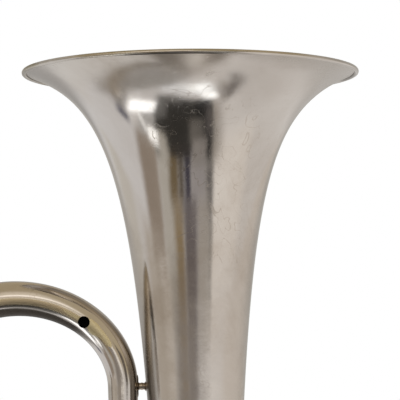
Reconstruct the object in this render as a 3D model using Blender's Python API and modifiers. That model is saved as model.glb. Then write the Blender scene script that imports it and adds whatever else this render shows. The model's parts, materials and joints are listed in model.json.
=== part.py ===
"""Upright three-valve brass horn with a fixed bell: soldered tubing, sprung pistons and pull-out slides.

Units are metres and +Z is up. The player sits on the -Y side, with the bell at the right (+X).
The origin is the lowest point of the guard under the bottom bow, midway between its two legs.
"""

import math

import bmesh
import bpy
from mathutils import Vector

# Fits shared by every joint
FIT = 0.0003  # gap between soldered, screwed or seated pieces
SLIDE_FIT = 0.0005  # radial gap between a slide's leg and its sleeve
SHEET = 0.0010  # wall of the bell and the large bows
TUBE_WALL = 0.0007  # wall of the narrow tubing

# Bell: a flare that follows a power of the depth below the rim
HORN_HEIGHT = 0.710
RIM_DIAMETER = 0.280
RIM_WIRE_RADIUS = 0.0020
FLARE_LENGTH = 0.0252
FLARE_EXPONENT = 0.503
TAIL_STRAIGHT = 0.006  # plain end of the bell that shows above its ferrule

# Main branch: bottom bow, outer branch, top bow and inner branch
TOP_BOW_SPAN = 0.1757
TOP_BOW_RISE = 0.0746  # from the centre of the top bow up to the middle of its tube at the crown
TOP_BOW_DROP = 0.2622  # from the rim down to the centre of the top bow
BOW_STUB = 0.020  # straight end of a bow, where its ferrule sits
FERRULE_LENGTH = 0.022
FERRULE_WALL = 0.0012
OUTER_BRANCH_FOOT_RADIUS = 0.0230
TOP_BOW_ENTRY_RADIUS = 0.0168
TOP_BOW_EXIT_RADIUS = 0.0121
BELL_TO_BOW_GAP = 0.0070  # free space that the upper bell brace bridges
GUARD_RADIUS = 0.0022
GUARD_HALF_ANGLE = math.radians(62)
PORT_HOLE_RADIUS = 0.0049  # open hole in the front wall of the top bow
PORT_HOLE_ANGLE = math.radians(42)  # from the bow's crown towards the bell
PORT_HOLE_INSET = 0.0028  # from the middle of the tube towards the centre of the bow

# Valves
PISTON_RADIUS = 0.0122
CASING_WALL = 0.0015
CASING_HEADROOM = 0.0256  # casing above its highest tube
VALVE_LIFT = 0.040  # casing foot above the centre of the bottom bow
CAP_WALL = 0.0013
CAP_SKIRT = 0.007
CAP_ROOF = 0.0032
VALVE_GAP = 0.0018  # between neighbouring caps
BRANCH_CLEARANCE = 0.015  # between the outer branch and the first slide
SPRING_ROOM = 0.040  # from the casing foot to the piston foot
SPRING_WIRE = 0.0006
SPRING_INSET = 0.0018  # from the piston's side to the middle of the spring's wire
SPRING_TURNS = 6
PISTON_TRAVEL = 0.017
PISTON_PORT_RADIUS = 0.0062
PISTON_SKIRT = 0.0076  # metal under the lowest port
STEM_RADIUS = 0.0030
BUTTON_RADIUS = 0.0095
BUTTON_HEIGHT = 0.0055
BUTTON_EDGE = 0.0010
FELT_RADIUS = 0.0075
FELT_HEIGHT = 0.0030
VENT_RADIUS = 0.0015

# Valve slides and their sleeves
LEG_RADIUS = 0.0080
LOOP_GAP = 0.018  # clear space between the two sleeves of a loop
CROOK_STUB = 0.006
FIRST_SLEEVE_OVERHANG = 0.013  # first sleeves past the middle of the outer branch
SECOND_SLEEVE = 0.026
THIRD_SLEEVE = 0.072
THIRD_SIDE_GAP = 0.0064  # between the second and third slides
THIRD_CLEARANCE = 0.011  # between the valve caps and the third slide
KNUCKLE_DROP = 0.026
LEG_RELIEF = 0.004  # a leg stops this far short of the end of its sleeve

# Main tuning slide
TUNING_LEG_RADIUS = 0.0086
TUNING_SLEEVE = 0.074
ELBOW_RADIUS = 0.020

# Mouthpipe, receiver and mouthpiece
MOUTHPIPE_DROP = 0.324  # from the rim down to the mouthpipe's level end
MOUTHPIPE_START_RADIUS = 0.0062
MOUTHPIPE_END_RADIUS = 0.0080
MOUTHPIPE_GAP = 0.009  # between the bell and the mouthpipe that passes round it
MOUTHPIPE_BEND = 0.050
MOUTHPIPE_LEAD = 0.036
REAR_BEND = 0.044
RECEIVER_LAP = 0.014  # over the end of the mouthpipe
RECEIVER_SHOULDER = 0.009  # between the mouthpipe's end and the shank's tip
RECEIVER_WALL = 0.0028
SHANK_TIP_RADIUS = 0.0053
SHANK_MOUTH_RADIUS = 0.0060
SHANK_DEPTH = 0.025
MOUTHPIECE_LENGTH = 0.062  # from the receiver to the rim
MOUTHPIECE_RIM_RADIUS = 0.0185
MOUTHPIECE_RIM_HEIGHT = 0.0030
CUP_RADIUS = 0.0130
CUP_DEPTH = 0.030
CUP_WALL = 0.0035
NECK_RADIUS = 0.0076
THROAT_RADIUS = 0.0033
THROAT_LENGTH = 0.006

# Braces, thumb ring and water key
BRACE_RISE = 0.0008  # upper bell brace above the centre of the top bow
BRACE_FOOT_RADIUS = 0.0042
BRACE_FOOT_HEIGHT = 0.0009
BRACE_POST_RADIUS = 0.0023
BRACE_BEAD_RADIUS = 0.0034
BRACE_BEAD_HEIGHT = 0.0024
THUMB_RING_RADIUS = 0.0125
THUMB_RING_WIRE = 0.0018
THUMB_RING_HEIGHT = 0.040
NIPPLE_RADIUS = 0.0034
NIPPLE_HEIGHT = 0.0050
CORK_RADIUS = 0.0042
CORK_HEIGHT = 0.0030
KEY_WIRE = 0.0016
KEY_CUP_FLOOR = 0.0010  # metal between the lever's wire and the cork
KEY_BARREL_RADIUS = 0.0028
KEY_BARREL_LENGTH = 0.0060
KEY_PIN_RADIUS = 0.0012
KEY_STAND_OFF = 0.0060  # from the crook to the key's pin
KEY_ANGLE = math.radians(30)  # of the key's pin below the middle of the crook
KEY_TOUCH_RISE = 0.026
KEY_TOUCH_REACH = 0.012
KEY_TOUCH_RADIUS = 0.0055
KEY_ARM_PULL = 0.0125

# Smoothness of the faceted solids
BELL_STEPS = 32
BELL_RINGS = 13
FERRULE_STEPS = 24
TURNED_STEPS = 20
CAP_STEPS = 16
SMALL_STEPS = 12
BRACE_STEPS = 8
BIG_TUBE_SIDES = 16
SLIDE_SIDES = 12
MOUTHPIPE_SIDES = 10
WIRE_SIDES = 8
SPRING_SIDES = 6
BOW_SEGMENTS = 16
WRAP_SEGMENTS = 12
CROOK_SEGMENTS = 8
BEND_SEGMENTS = 5
CUP_SEGMENTS = 4
SPRING_POINTS = 8
CUTTER_SIDES = 12
MERGE_DISTANCE = 0.00001

# Sizes worked out from the ones above
SLEEVE_RADIUS = LEG_RADIUS + SLIDE_FIT + TUBE_WALL
TUNING_SLEEVE_RADIUS = TUNING_LEG_RADIUS + SLIDE_FIT + TUBE_WALL
LOOP_HALF = SLEEVE_RADIUS + LOOP_GAP / 2
CASING_BORE = PISTON_RADIUS + FIT
CASING_RADIUS = CASING_BORE + CASING_WALL
CAP_BORE = CASING_RADIUS + FIT
CAP_RADIUS = CAP_BORE + CAP_WALL
VALVE_PITCH = 2 * CAP_RADIUS + VALVE_GAP
SPIGOT = CASING_BORE + FIT / 2  # from a valve's axis to the end of a tube that enters it
PORT_HEIGHT = SPRING_ROOM + PISTON_SKIRT + PISTON_PORT_RADIUS + LOOP_HALF
CASING_LENGTH = PORT_HEIGHT + LOOP_HALF + SLEEVE_RADIUS + CASING_HEADROOM
RECEIVER_LENGTH = RECEIVER_LAP + RECEIVER_SHOULDER + SHANK_DEPTH
RIM_WIRE_Z = HORN_HEIGHT - RIM_WIRE_RADIUS
RIM_CIRCLE = RIM_DIAMETER / 2 - RIM_WIRE_RADIUS


def flat_to_corner(radius, sides):
    """Corner radius of a faceted bore whose flats stand at a radius."""
    return radius / math.cos(math.pi / sides)


def bell_radius(depth):
    """Outer radius of the bell at a depth below the centre of its rim wire."""
    return RIM_CIRCLE * ((depth + FLARE_LENGTH) / FLARE_LENGTH) ** -FLARE_EXPONENT


def bell_radius_at(z):
    return bell_radius(RIM_WIRE_Z - z)


# Places of the main branch
TOP_BOW_Z = HORN_HEIGHT - TOP_BOW_DROP
BRACE_Z = TOP_BOW_Z + BRACE_RISE
TOP_BOW_RADIUS = TOP_BOW_SPAN / 2
LEG_SPAN = TOP_BOW_SPAN + TOP_BOW_EXIT_RADIUS + BELL_TO_BOW_GAP + bell_radius_at(BRACE_Z)
BELL_X = LEG_SPAN / 2
OUTER_X = -LEG_SPAN / 2
INNER_X = OUTER_X + TOP_BOW_SPAN
TOP_BOW_X = OUTER_X + TOP_BOW_RADIUS
TAIL_REACH = BOW_STUB + FERRULE_LENGTH / 2 + TAIL_STRAIGHT  # bell's straight end above the bottom bow
TAIL_Z = BELL_X + OUTER_BRANCH_FOOT_RADIUS + 2 * GUARD_RADIUS + TAIL_REACH
TAIL_RADIUS = bell_radius_at(TAIL_Z)
BOTTOM_MID_RADIUS = (TAIL_RADIUS + OUTER_BRANCH_FOOT_RADIUS) / 2
BOTTOM_BOW_Z = BELL_X + BOTTOM_MID_RADIUS + FIT + 2 * GUARD_RADIUS
BOTTOM_JOINT_Z = BOTTOM_BOW_Z + BOW_STUB
TOP_JOINT_Z = TOP_BOW_Z - BOW_STUB

# Places of the valves and slides
CASING_Z = BOTTOM_BOW_Z + VALVE_LIFT
PORT_Z = CASING_Z + PORT_HEIGHT
UPPER_PORT_Z = PORT_Z + LOOP_HALF
LOWER_PORT_Z = PORT_Z - LOOP_HALF
VALVE_Y = -(OUTER_BRANCH_FOOT_RADIUS + BRANCH_CLEARANCE + SLEEVE_RADIUS)
VALVE_XS = [TOP_BOW_X + VALVE_PITCH * step for step in (-1, 0, 1)]
FIRST_SLEEVE = VALVE_XS[0] - SPIGOT - OUTER_X + FIRST_SLEEVE_OVERHANG
THIRD_SLIDE_X = VALVE_XS[1] + 2 * SLEEVE_RADIUS + THIRD_SIDE_GAP + LOOP_HALF
THIRD_SLIDE_Y = VALVE_Y - CAP_RADIUS - THIRD_CLEARANCE - SLEEVE_RADIUS
TUNING_TOP_Z = PORT_Z - ELBOW_RADIUS
TUNING_FOOT_Z = TUNING_TOP_Z - TUNING_SLEEVE
TUNING_CROOK_RADIUS = -VALVE_Y / 2
MOUTHPIPE_Z = HORN_HEIGHT - MOUTHPIPE_DROP
WRAP_RADIUS = bell_radius_at(MOUTHPIPE_Z + MOUTHPIPE_START_RADIUS) + MOUTHPIPE_GAP + MOUTHPIPE_END_RADIUS
RECEIVER_X = BELL_X - MOUTHPIPE_BEND
MOUTHPIPE_Y = -WRAP_RADIUS - MOUTHPIPE_BEND - MOUTHPIPE_LEAD

AXIS_X = Vector((1, 0, 0))
AXIS_Y = Vector((0, 1, 0))
AXIS_Z = Vector((0, 0, 1))

FINISHES = {
    "silver_plate": ((0.66, 0.62, 0.57), 0.24, 1.0),
    "worn_brass": ((0.62, 0.49, 0.27), 0.32, 1.0),
    "spring_steel": ((0.42, 0.42, 0.44), 0.35, 1.0),
    "pearl": ((0.86, 0.84, 0.79), 0.18, 0.0),
    "felt": ((0.30, 0.06, 0.07), 0.95, 0.0),
    "cork": ((0.62, 0.43, 0.26), 0.90, 0.0),
}


def clear_scene():
    for item in list(bpy.data.objects):
        bpy.data.objects.remove(item)


def make_collection(name, hidden=False):
    collection = bpy.data.collections.new(name)
    collection.hide_render = hidden
    bpy.context.scene.collection.children.link(collection)
    return collection


def make_finish(name):
    colour, roughness, metallic = FINISHES[name]
    finish = bpy.data.materials.new(name)
    finish.use_nodes = True
    shader = finish.node_tree.nodes["Principled BSDF"]
    shader.inputs["Base Color"].default_value = (*colour, 1)
    shader.inputs["Roughness"].default_value = roughness
    shader.inputs["Metallic"].default_value = metallic
    return finish


def carrier(name, location):
    """An empty on a moving body's axis, which carries that body's pieces."""
    empty = bpy.data.objects.new(name, None)
    empty.location = location
    empty.parent = HORN
    PIECES.objects.link(empty)
    return empty


def add_piece(name, data, finish, parent=None, location=(0, 0, 0), direction=AXIS_Z):
    """Links an object whose local +Z points along direction, and gives it its finish."""
    piece = bpy.data.objects.new(name, data)
    piece.parent = parent or HORN
    piece.location = location
    piece.rotation_mode = "QUATERNION"
    piece.rotation_quaternion = AXIS_Z.rotation_difference(Vector(direction))
    data.materials.append(MATERIALS[finish])
    PIECES.objects.link(piece)
    return piece


def turned(name, profile, finish, steps=TURNED_STEPS, ring=True, **place):
    """A turned solid from (radius, height) points: down the outside and, on a ring, back up the bore."""
    points = [(radius, 0, height) for radius, height in profile]
    edges = [(k, k + 1) for k in range(len(points) - 1)]
    if ring:
        edges.append((len(points) - 1, 0))
    mesh = bpy.data.meshes.new(name)
    mesh.from_pydata(points, edges, [])
    piece = add_piece(name, mesh, finish, **place)
    turn = piece.modifiers.new("turn", "SCREW")
    turn.steps = turn.render_steps = steps
    turn.use_merge_vertices = True
    turn.merge_threshold = MERGE_DISTANCE
    turn.use_smooth_shade = True
    return piece


def tube(name, route, radii, finish, wall=None, sides=SLIDE_SIDES, **place):
    """A round tube along a route of points, tapering through radii: hollow if it has a wall."""
    curve = bpy.data.curves.new(name, "CURVE")
    curve.dimensions = "3D"
    curve.bevel_depth = max(radii)
    curve.bevel_resolution = (sides - 4) // 2
    curve.use_fill_caps = wall is None
    spline = curve.splines.new("POLY")
    spline.points.add(len(route) - 1)
    for point, spot, radius in zip(spline.points, route, radii):
        point.co = (*spot, 1)
        point.radius = radius / curve.bevel_depth
    piece = add_piece(name, curve, finish, **place)
    if wall:
        shell = piece.modifiers.new("wall", "SOLIDIFY")
        shell.thickness = wall
        shell.offset = -1
    return piece


def as_mesh(piece):
    """Turns a curve object into a mesh object of the same name and place, so that it can be cut."""
    bpy.context.view_layer.update()
    graph = bpy.context.evaluated_depsgraph_get()
    mesh = bpy.data.meshes.new_from_object(piece.evaluated_get(graph))
    welded = bmesh.new()
    welded.from_mesh(mesh)
    bmesh.ops.remove_doubles(welded, verts=welded.verts, dist=MERGE_DISTANCE)
    welded.to_mesh(mesh)
    welded.free()
    name, parent, place = piece.name, piece.parent, piece.matrix_world.copy()
    bpy.data.objects.remove(piece)
    solid = bpy.data.objects.new(name, mesh)
    PIECES.objects.link(solid)
    solid.parent = parent
    solid.matrix_world = place
    return solid


def cutter(name, mesh, parent, location, direction):
    helper = bpy.data.objects.new(name, mesh)
    helper.parent = parent or HORN
    helper.location = location
    helper.rotation_mode = "QUATERNION"
    helper.rotation_quaternion = AXIS_Z.rotation_difference(Vector(direction))
    helper.hide_render = True
    helper.display_type = "WIRE"
    CUTTERS.objects.link(helper)
    return helper


def boolean(piece, helper, operation="DIFFERENCE"):
    change = piece.modifiers.new(helper.name, "BOOLEAN")
    change.operation = operation
    change.object = helper


def drum(radius, length, centred=True, sides=CUTTER_SIDES):
    """A plain cylinder mesh on Z, centred or standing on the origin."""
    mesh = bpy.data.meshes.new("drum")
    shape = bmesh.new()
    bmesh.ops.create_cone(
        shape, cap_ends=True, segments=sides, radius1=radius, radius2=radius, depth=length
    )
    if not centred:
        bmesh.ops.translate(shape, verts=shape.verts, vec=AXIS_Z * length / 2)
    shape.to_mesh(mesh)
    shape.free()
    return mesh


def block(size):
    """A plain box mesh about the origin."""
    mesh = bpy.data.meshes.new("block")
    shape = bmesh.new()
    bmesh.ops.create_cube(shape, size=1)
    bmesh.ops.scale(shape, verts=shape.verts, vec=size)
    shape.to_mesh(mesh)
    shape.free()
    return mesh


def drill(piece, location, direction, radius, length, parent=None, centred=False):
    """Cuts a round hole that starts at location, or is centred there, and runs along direction."""
    mesh = drum(flat_to_corner(radius, CUTTER_SIDES), length, centred)
    boolean(piece, cutter(f"{piece.name}_drill_{len(piece.modifiers)}", mesh, parent, location, direction))


def arc(centre, start, end, segments):
    """Points of a quarter circle, or of an ellipse, from centre + start to centre + end."""
    centre, start, end = Vector(centre), Vector(start), Vector(end)
    angles = [math.pi / 2 * step / segments for step in range(segments + 1)]
    return [centre + math.cos(angle) * start + math.sin(angle) * end for angle in angles]


def u_bend(centre, side, crown, segments):
    """Points of half a circle or ellipse from centre + side, over centre + crown, to centre - side."""
    half = segments // 2
    side, crown = Vector(side), Vector(crown)
    return arc(centre, side, crown, half) + arc(centre, crown, -side, half)[1:]


def ease(start, start_way, end, end_way, segments, pull):
    """Points of one cubic curve that leaves start along start_way and arrives at end along end_way."""
    start, end = Vector(start), Vector(end)
    handles = [start, start + pull * Vector(start_way), end - pull * Vector(end_way), end]
    points = []
    for step in range(segments + 1):
        t = step / segments
        weights = [(1 - t) ** 3, 3 * t * (1 - t) ** 2, 3 * t**2 * (1 - t), t**3]
        points.append(sum((w * h for w, h in zip(weights, handles)), Vector()))
    return points


def lengths_along(route):
    """Distance of each point from the start, measured along the route."""
    distances = [0.0]
    for first, second in zip(route, route[1:]):
        distances.append(distances[-1] + (Vector(second) - Vector(first)).length)
    return distances


def taper(route, first, last):
    """Radii that change evenly with distance along a route."""
    distances = lengths_along(route)
    return [first + (last - first) * d / distances[-1] for d in distances]


def smooth_step(share):
    share = min(1, max(0, share))
    return share * share * (3 - 2 * share)


def build_bell():
    """The flared sheet, from its rolled rim down to the tail that enters the bottom bow's ferrule."""
    edge = RIM_CIRCLE - RIM_WIRE_RADIUS - 2 * FIT
    first = FLARE_LENGTH * (edge / RIM_CIRCLE) ** (-1 / FLARE_EXPONENT)
    last = RIM_WIRE_Z - TAIL_Z + FLARE_LENGTH
    outside, inside = [], []
    for ring in range(BELL_RINGS + 1):
        depth = first * (last / first) ** (ring / BELL_RINGS) - FLARE_LENGTH
        radius = bell_radius(depth)
        slope = FLARE_EXPONENT * radius / (depth + FLARE_LENGTH)
        outside.append((radius, -depth))
        inside.append((radius - SHEET * math.hypot(1, slope), -depth))
    tail_foot = BOTTOM_JOINT_Z + FIT - RIM_WIRE_Z
    outside.append((TAIL_RADIUS, tail_foot))
    inside.append((TAIL_RADIUS - SHEET, tail_foot))
    place = {"location": (BELL_X, 0, RIM_WIRE_Z)}
    turned("bell", outside + inside[::-1], "silver_plate", steps=BELL_STEPS, **place)
    wire = [
        (
            RIM_CIRCLE + RIM_WIRE_RADIUS * math.cos(math.pi * (0.375 - side / 4)) / math.cos(math.pi / 8),
            RIM_WIRE_RADIUS * math.sin(math.pi * (0.375 - side / 4)) / math.cos(math.pi / 8),
        )
        for side in range(8)
    ]
    turned("bell_rim_wire", wire, "silver_plate", steps=BELL_STEPS, **place)


def build_ferrule(name, x, z, tube_radius):
    """A plain collar over the two tube ends that meet at z."""
    bore = flat_to_corner(tube_radius + FIT, FERRULE_STEPS)
    outer, half = bore + FERRULE_WALL, FERRULE_LENGTH / 2
    profile = [(outer, half), (outer, -half), (bore, -half), (bore, half)]
    turned(name, profile, "silver_plate", steps=FERRULE_STEPS, location=(x, 0, z))


def build_main_branch():
    """Bottom bow, outer branch, top bow and inner branch with their ferrules and the guard wire."""
    side, up = AXIS_X * BELL_X, AXIS_Z * BELL_X
    foot = Vector((0, 0, BOTTOM_BOW_Z))
    stub = AXIS_Z * BOW_STUB
    route = [foot + side + stub, *u_bend(foot, side, -up, BOW_SEGMENTS), foot - side + stub]
    radii = taper(route, TAIL_RADIUS, OUTER_BRANCH_FOOT_RADIUS)
    tube("bottom_bow", route, radii, "silver_plate", wall=SHEET, sides=BIG_TUBE_SIDES)
    build_ferrule("bell_tail_ferrule", BELL_X, BOTTOM_JOINT_Z, TAIL_RADIUS)
    build_guard(foot)

    low = Vector((OUTER_X, 0, BOTTOM_JOINT_Z + FIT))
    high = Vector((OUTER_X, 0, TOP_JOINT_Z - FIT))
    branch_radii = [OUTER_BRANCH_FOOT_RADIUS, TOP_BOW_ENTRY_RADIUS]
    tube("outer_branch", [low, high], branch_radii, "silver_plate", wall=SHEET, sides=BIG_TUBE_SIDES)
    build_ferrule("outer_branch_ferrule", OUTER_X, BOTTOM_JOINT_Z, OUTER_BRANCH_FOOT_RADIUS)
    share = FERRULE_LENGTH / 2 / (TOP_JOINT_Z - BOTTOM_JOINT_Z)
    fat_end = TOP_BOW_ENTRY_RADIUS + share * (OUTER_BRANCH_FOOT_RADIUS - TOP_BOW_ENTRY_RADIUS)
    build_ferrule("top_bow_outer_ferrule", OUTER_X, TOP_JOINT_Z, fat_end)

    crown = Vector((TOP_BOW_X, 0, TOP_BOW_Z))
    side, up = AXIS_X * TOP_BOW_RADIUS, AXIS_Z * TOP_BOW_RISE
    route = [crown - side - stub, *u_bend(crown, -side, up, BOW_SEGMENTS), crown + side - stub]
    radii = taper(route, TOP_BOW_ENTRY_RADIUS, TOP_BOW_EXIT_RADIUS)
    bow = tube("top_bow", route, radii, "silver_plate", wall=SHEET, sides=BIG_TUBE_SIDES)
    bow = as_mesh(bow)
    arm = math.sin(PORT_HOLE_ANGLE) * side + math.cos(PORT_HOLE_ANGLE) * up
    hole = crown + arm - arm.normalized() * PORT_HOLE_INSET
    drill(bow, hole, -AXIS_Y, PORT_HOLE_RADIUS, 2 * TOP_BOW_ENTRY_RADIUS)
    build_ferrule("top_bow_inner_ferrule", INNER_X, TOP_JOINT_Z, TOP_BOW_EXIT_RADIUS)

    high = Vector((INNER_X, 0, TOP_JOINT_Z - FIT))
    low = Vector((INNER_X, 0, TUNING_TOP_Z + FIT))
    branch_radii = [TOP_BOW_EXIT_RADIUS, TUNING_SLEEVE_RADIUS]
    tube("inner_branch", [high, low], branch_radii, "silver_plate", wall=SHEET)


def build_guard(foot):
    """The half-round wear wire along the underside of the bottom bow, which the horn is set down on."""
    route = []
    segment = math.pi / BOW_SEGMENTS
    reach_steps = round(GUARD_HALF_ANGLE / segment)
    for step in range(-reach_steps, reach_steps + 1):
        angle = -segment * step
        share = 0.5 - angle / math.pi
        bow_radius = TAIL_RADIUS + share * (OUTER_BRANCH_FOOT_RADIUS - TAIL_RADIUS)
        reach = BELL_X + bow_radius + FIT + GUARD_RADIUS
        route.append(foot + reach * (math.sin(angle) * AXIS_X - math.cos(angle) * AXIS_Z))
    radii = [GUARD_RADIUS] * len(route)
    tube("bottom_bow_guard", route, radii, "silver_plate", sides=WIRE_SIDES)


def build_valve(number, x):
    """One casing with its caps and, inside it, the sprung piston under its finger button."""
    axis = Vector((x, VALVE_Y, CASING_Z))
    place = {"location": axis}
    casing_profile = [
        (CASING_RADIUS, CASING_LENGTH),
        (CASING_RADIUS, 0),
        (CASING_BORE, 0),
        (CASING_BORE, CASING_LENGTH),
    ]
    casing = turned(f"valve_casing_{number}", casing_profile, "silver_plate", **place)

    roof = CASING_LENGTH + FIT
    top_cap = [
        (CAP_RADIUS, roof + CAP_ROOF),
        (CAP_RADIUS, CASING_LENGTH - CAP_SKIRT),
        (CAP_BORE, CASING_LENGTH - CAP_SKIRT),
        (CAP_BORE, roof),
        (STEM_RADIUS + SLIDE_FIT, roof),
        (STEM_RADIUS + SLIDE_FIT, roof + CAP_ROOF),
    ]
    turned(f"valve_top_cap_{number}", top_cap, "silver_plate", steps=CAP_STEPS, **place)
    bottom_cap = [
        (CAP_RADIUS, CAP_SKIRT),
        (CAP_RADIUS, -FIT - CAP_ROOF),
        (VENT_RADIUS, -FIT - CAP_ROOF),
        (VENT_RADIUS, -FIT),
        (CAP_BORE, -FIT),
        (CAP_BORE, CAP_SKIRT),
    ]
    turned(f"valve_bottom_cap_{number}", bottom_cap, "silver_plate", steps=CAP_STEPS, **place)

    body = carrier(f"piston_{number}_axis", axis)
    head = CASING_LENGTH - FIT
    felt_foot = roof + CAP_ROOF + PISTON_TRAVEL + FIT
    button_foot = felt_foot + FELT_HEIGHT + FIT
    stem_top = button_foot + BUTTON_HEIGHT / 2
    piston_profile = [
        (0, stem_top),
        (STEM_RADIUS, stem_top),
        (STEM_RADIUS, head),
        (PISTON_RADIUS, head),
        (PISTON_RADIUS, SPRING_ROOM),
        (0, SPRING_ROOM),
    ]
    piston = turned(f"piston_{number}", piston_profile, "worn_brass", ring=False, parent=body)
    across = 2 * CASING_RADIUS
    for rise, way in ((0, AXIS_X), (LOOP_HALF, AXIS_Y), (-LOOP_HALF, AXIS_Y)):
        drill(piston, (0, 0, PORT_HEIGHT + rise), way, PISTON_PORT_RADIUS, across, parent=body, centred=True)

    felt = [
        (FELT_RADIUS, felt_foot + FELT_HEIGHT),
        (FELT_RADIUS, felt_foot),
        (STEM_RADIUS + FIT, felt_foot),
        (STEM_RADIUS + FIT, felt_foot + FELT_HEIGHT),
    ]
    turned(f"valve_felt_{number}", felt, "felt", steps=SMALL_STEPS, parent=body)
    top = button_foot + BUTTON_HEIGHT
    button = [
        (0, top),
        (BUTTON_RADIUS - BUTTON_EDGE, top),
        (BUTTON_RADIUS, top - BUTTON_EDGE),
        (BUTTON_RADIUS, button_foot + BUTTON_EDGE),
        (BUTTON_RADIUS - BUTTON_EDGE, button_foot),
        (STEM_RADIUS + FIT, button_foot),
        (STEM_RADIUS + FIT, stem_top + FIT),
        (0, stem_top + FIT),
    ]
    turned(f"finger_button_{number}", button, "pearl", steps=SMALL_STEPS, ring=False, parent=body)
    build_spring(number, axis)
    return casing


def build_spring(number, axis):
    """The coil between the bottom cap and the piston's foot."""
    low = FIT + SPRING_WIRE
    rise = SPRING_ROOM - FIT - SPRING_WIRE - low
    coil = PISTON_RADIUS - SPRING_INSET
    count = SPRING_TURNS * SPRING_POINTS
    route = []
    for step in range(count + 1):
        angle = 2 * math.pi * step / SPRING_POINTS
        route.append(Vector((coil * math.cos(angle), coil * math.sin(angle), low + rise * step / count)))
    radii = [SPRING_WIRE] * len(route)
    tube(f"piston_spring_{number}", route, radii, "spring_steel", sides=SPRING_SIDES, location=axis)
    turn_apart = zip(route, route[SPRING_POINTS:])
    gap = min((upper - lower).length for lower, upper in turn_apart) - 2 * SPRING_WIRE
    print(f"piston_spring_{number}: least gap between turns {1000 * gap:.2f} mm")


def build_sleeve(name, casing, route, radii):
    """A tube that enters a valve casing at its first point, and the hole in the casing that takes it."""
    tube(name, route, radii, "silver_plate", wall=TUBE_WALL)
    way = (Vector(route[1]) - Vector(route[0])).normalized()
    start = Vector(route[0]) - way * SPIGOT
    drill(casing, start, way, radii[0] + FIT, 2 * CASING_RADIUS)


def build_slide(name, centre, out, across, sleeve, half, radius):
    """A pull-out crook: two legs that fill their sleeves, and a half circle whose crown points along out."""
    body = carrier(f"{name}_axis", centre)
    leg = sleeve + CROOK_STUB - LEG_RELIEF
    crook = u_bend((0, 0, 0), across * half, out * half, CROOK_SEGMENTS)
    route = [across * half - out * leg, *crook, -across * half - out * leg]
    tube(name, route, [radius] * len(route), "worn_brass", wall=TUBE_WALL, parent=body)
    return body


def build_valve_loops(casings):
    """The sleeves that stand on the casings, and the three slides that fill them."""
    heights = {"upper": UPPER_PORT_Z, "lower": LOWER_PORT_Z}
    sleeve_radii = [SLEEVE_RADIUS, SLEEVE_RADIUS]
    first_x, second_x, third_x = VALVE_XS
    for level, z in heights.items():
        near = Vector((first_x - SPIGOT, VALVE_Y, z))
        far = near - AXIS_X * FIRST_SLEEVE
        build_sleeve(f"first_slide_sleeve_{level}", casings[0], [near, far], sleeve_radii)
        near = Vector((second_x, VALVE_Y - SPIGOT, z))
        far = near - AXIS_Y * SECOND_SLEEVE
        build_sleeve(f"second_slide_sleeve_{level}", casings[1], [near, far], sleeve_radii)
    centre = (first_x - SPIGOT - FIRST_SLEEVE - CROOK_STUB, VALVE_Y, PORT_Z)
    build_slide("first_slide", centre, -AXIS_X, AXIS_Z, FIRST_SLEEVE, LOOP_HALF, LEG_RADIUS)
    centre = (second_x, VALVE_Y - SPIGOT - SECOND_SLEEVE - CROOK_STUB, PORT_Z)
    build_slide("second_slide", centre, -AXIS_Y, AXIS_Z, SECOND_SLEEVE, LOOP_HALF, LEG_RADIUS)

    knuckle_z = LOWER_PORT_Z - KNUCKLE_DROP
    sleeve_foot = knuckle_z - THIRD_SLEEVE
    for side, z, way in (("left", LOWER_PORT_Z, -1), ("right", UPPER_PORT_Z, 1)):
        leg_x = THIRD_SLIDE_X + way * LOOP_HALF
        start = Vector((third_x, VALVE_Y - SPIGOT, z))
        bend_start = start - AXIS_Y * (CASING_RADIUS - SPIGOT + FIT)
        bend_end = Vector((leg_x, THIRD_SLIDE_Y, z - KNUCKLE_DROP))
        bend = ease(bend_start, -AXIS_Y, bend_end, -AXIS_Z, BEND_SEGMENTS, KNUCKLE_DROP * 2 / 3)
        route = [start, *bend, Vector((leg_x, THIRD_SLIDE_Y, sleeve_foot))]
        build_sleeve(f"third_slide_sleeve_{side}", casings[2], route, [SLEEVE_RADIUS] * len(route))
    centre = (THIRD_SLIDE_X, THIRD_SLIDE_Y, sleeve_foot - CROOK_STUB)
    build_slide("third_slide", centre, -AXIS_Z, AXIS_X, THIRD_SLEEVE, LOOP_HALF, LEG_RADIUS)


def build_crossovers(casings):
    """Short tubes that carry the air from one valve to the next."""
    for number in (1, 2):
        near = Vector((VALVE_XS[number - 1] + SPIGOT, VALVE_Y, PORT_Z))
        far = Vector((VALVE_XS[number] - SPIGOT, VALVE_Y, PORT_Z))
        radii = [LEG_RADIUS, LEG_RADIUS]
        build_sleeve(f"valve_crossover_{number}_{number + 1}", casings[number - 1], [near, far], radii)
        hole = far + AXIS_X * SPIGOT
        drill(casings[number], hole, -AXIS_X, LEG_RADIUS + FIT, 2 * CASING_RADIUS)


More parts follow.
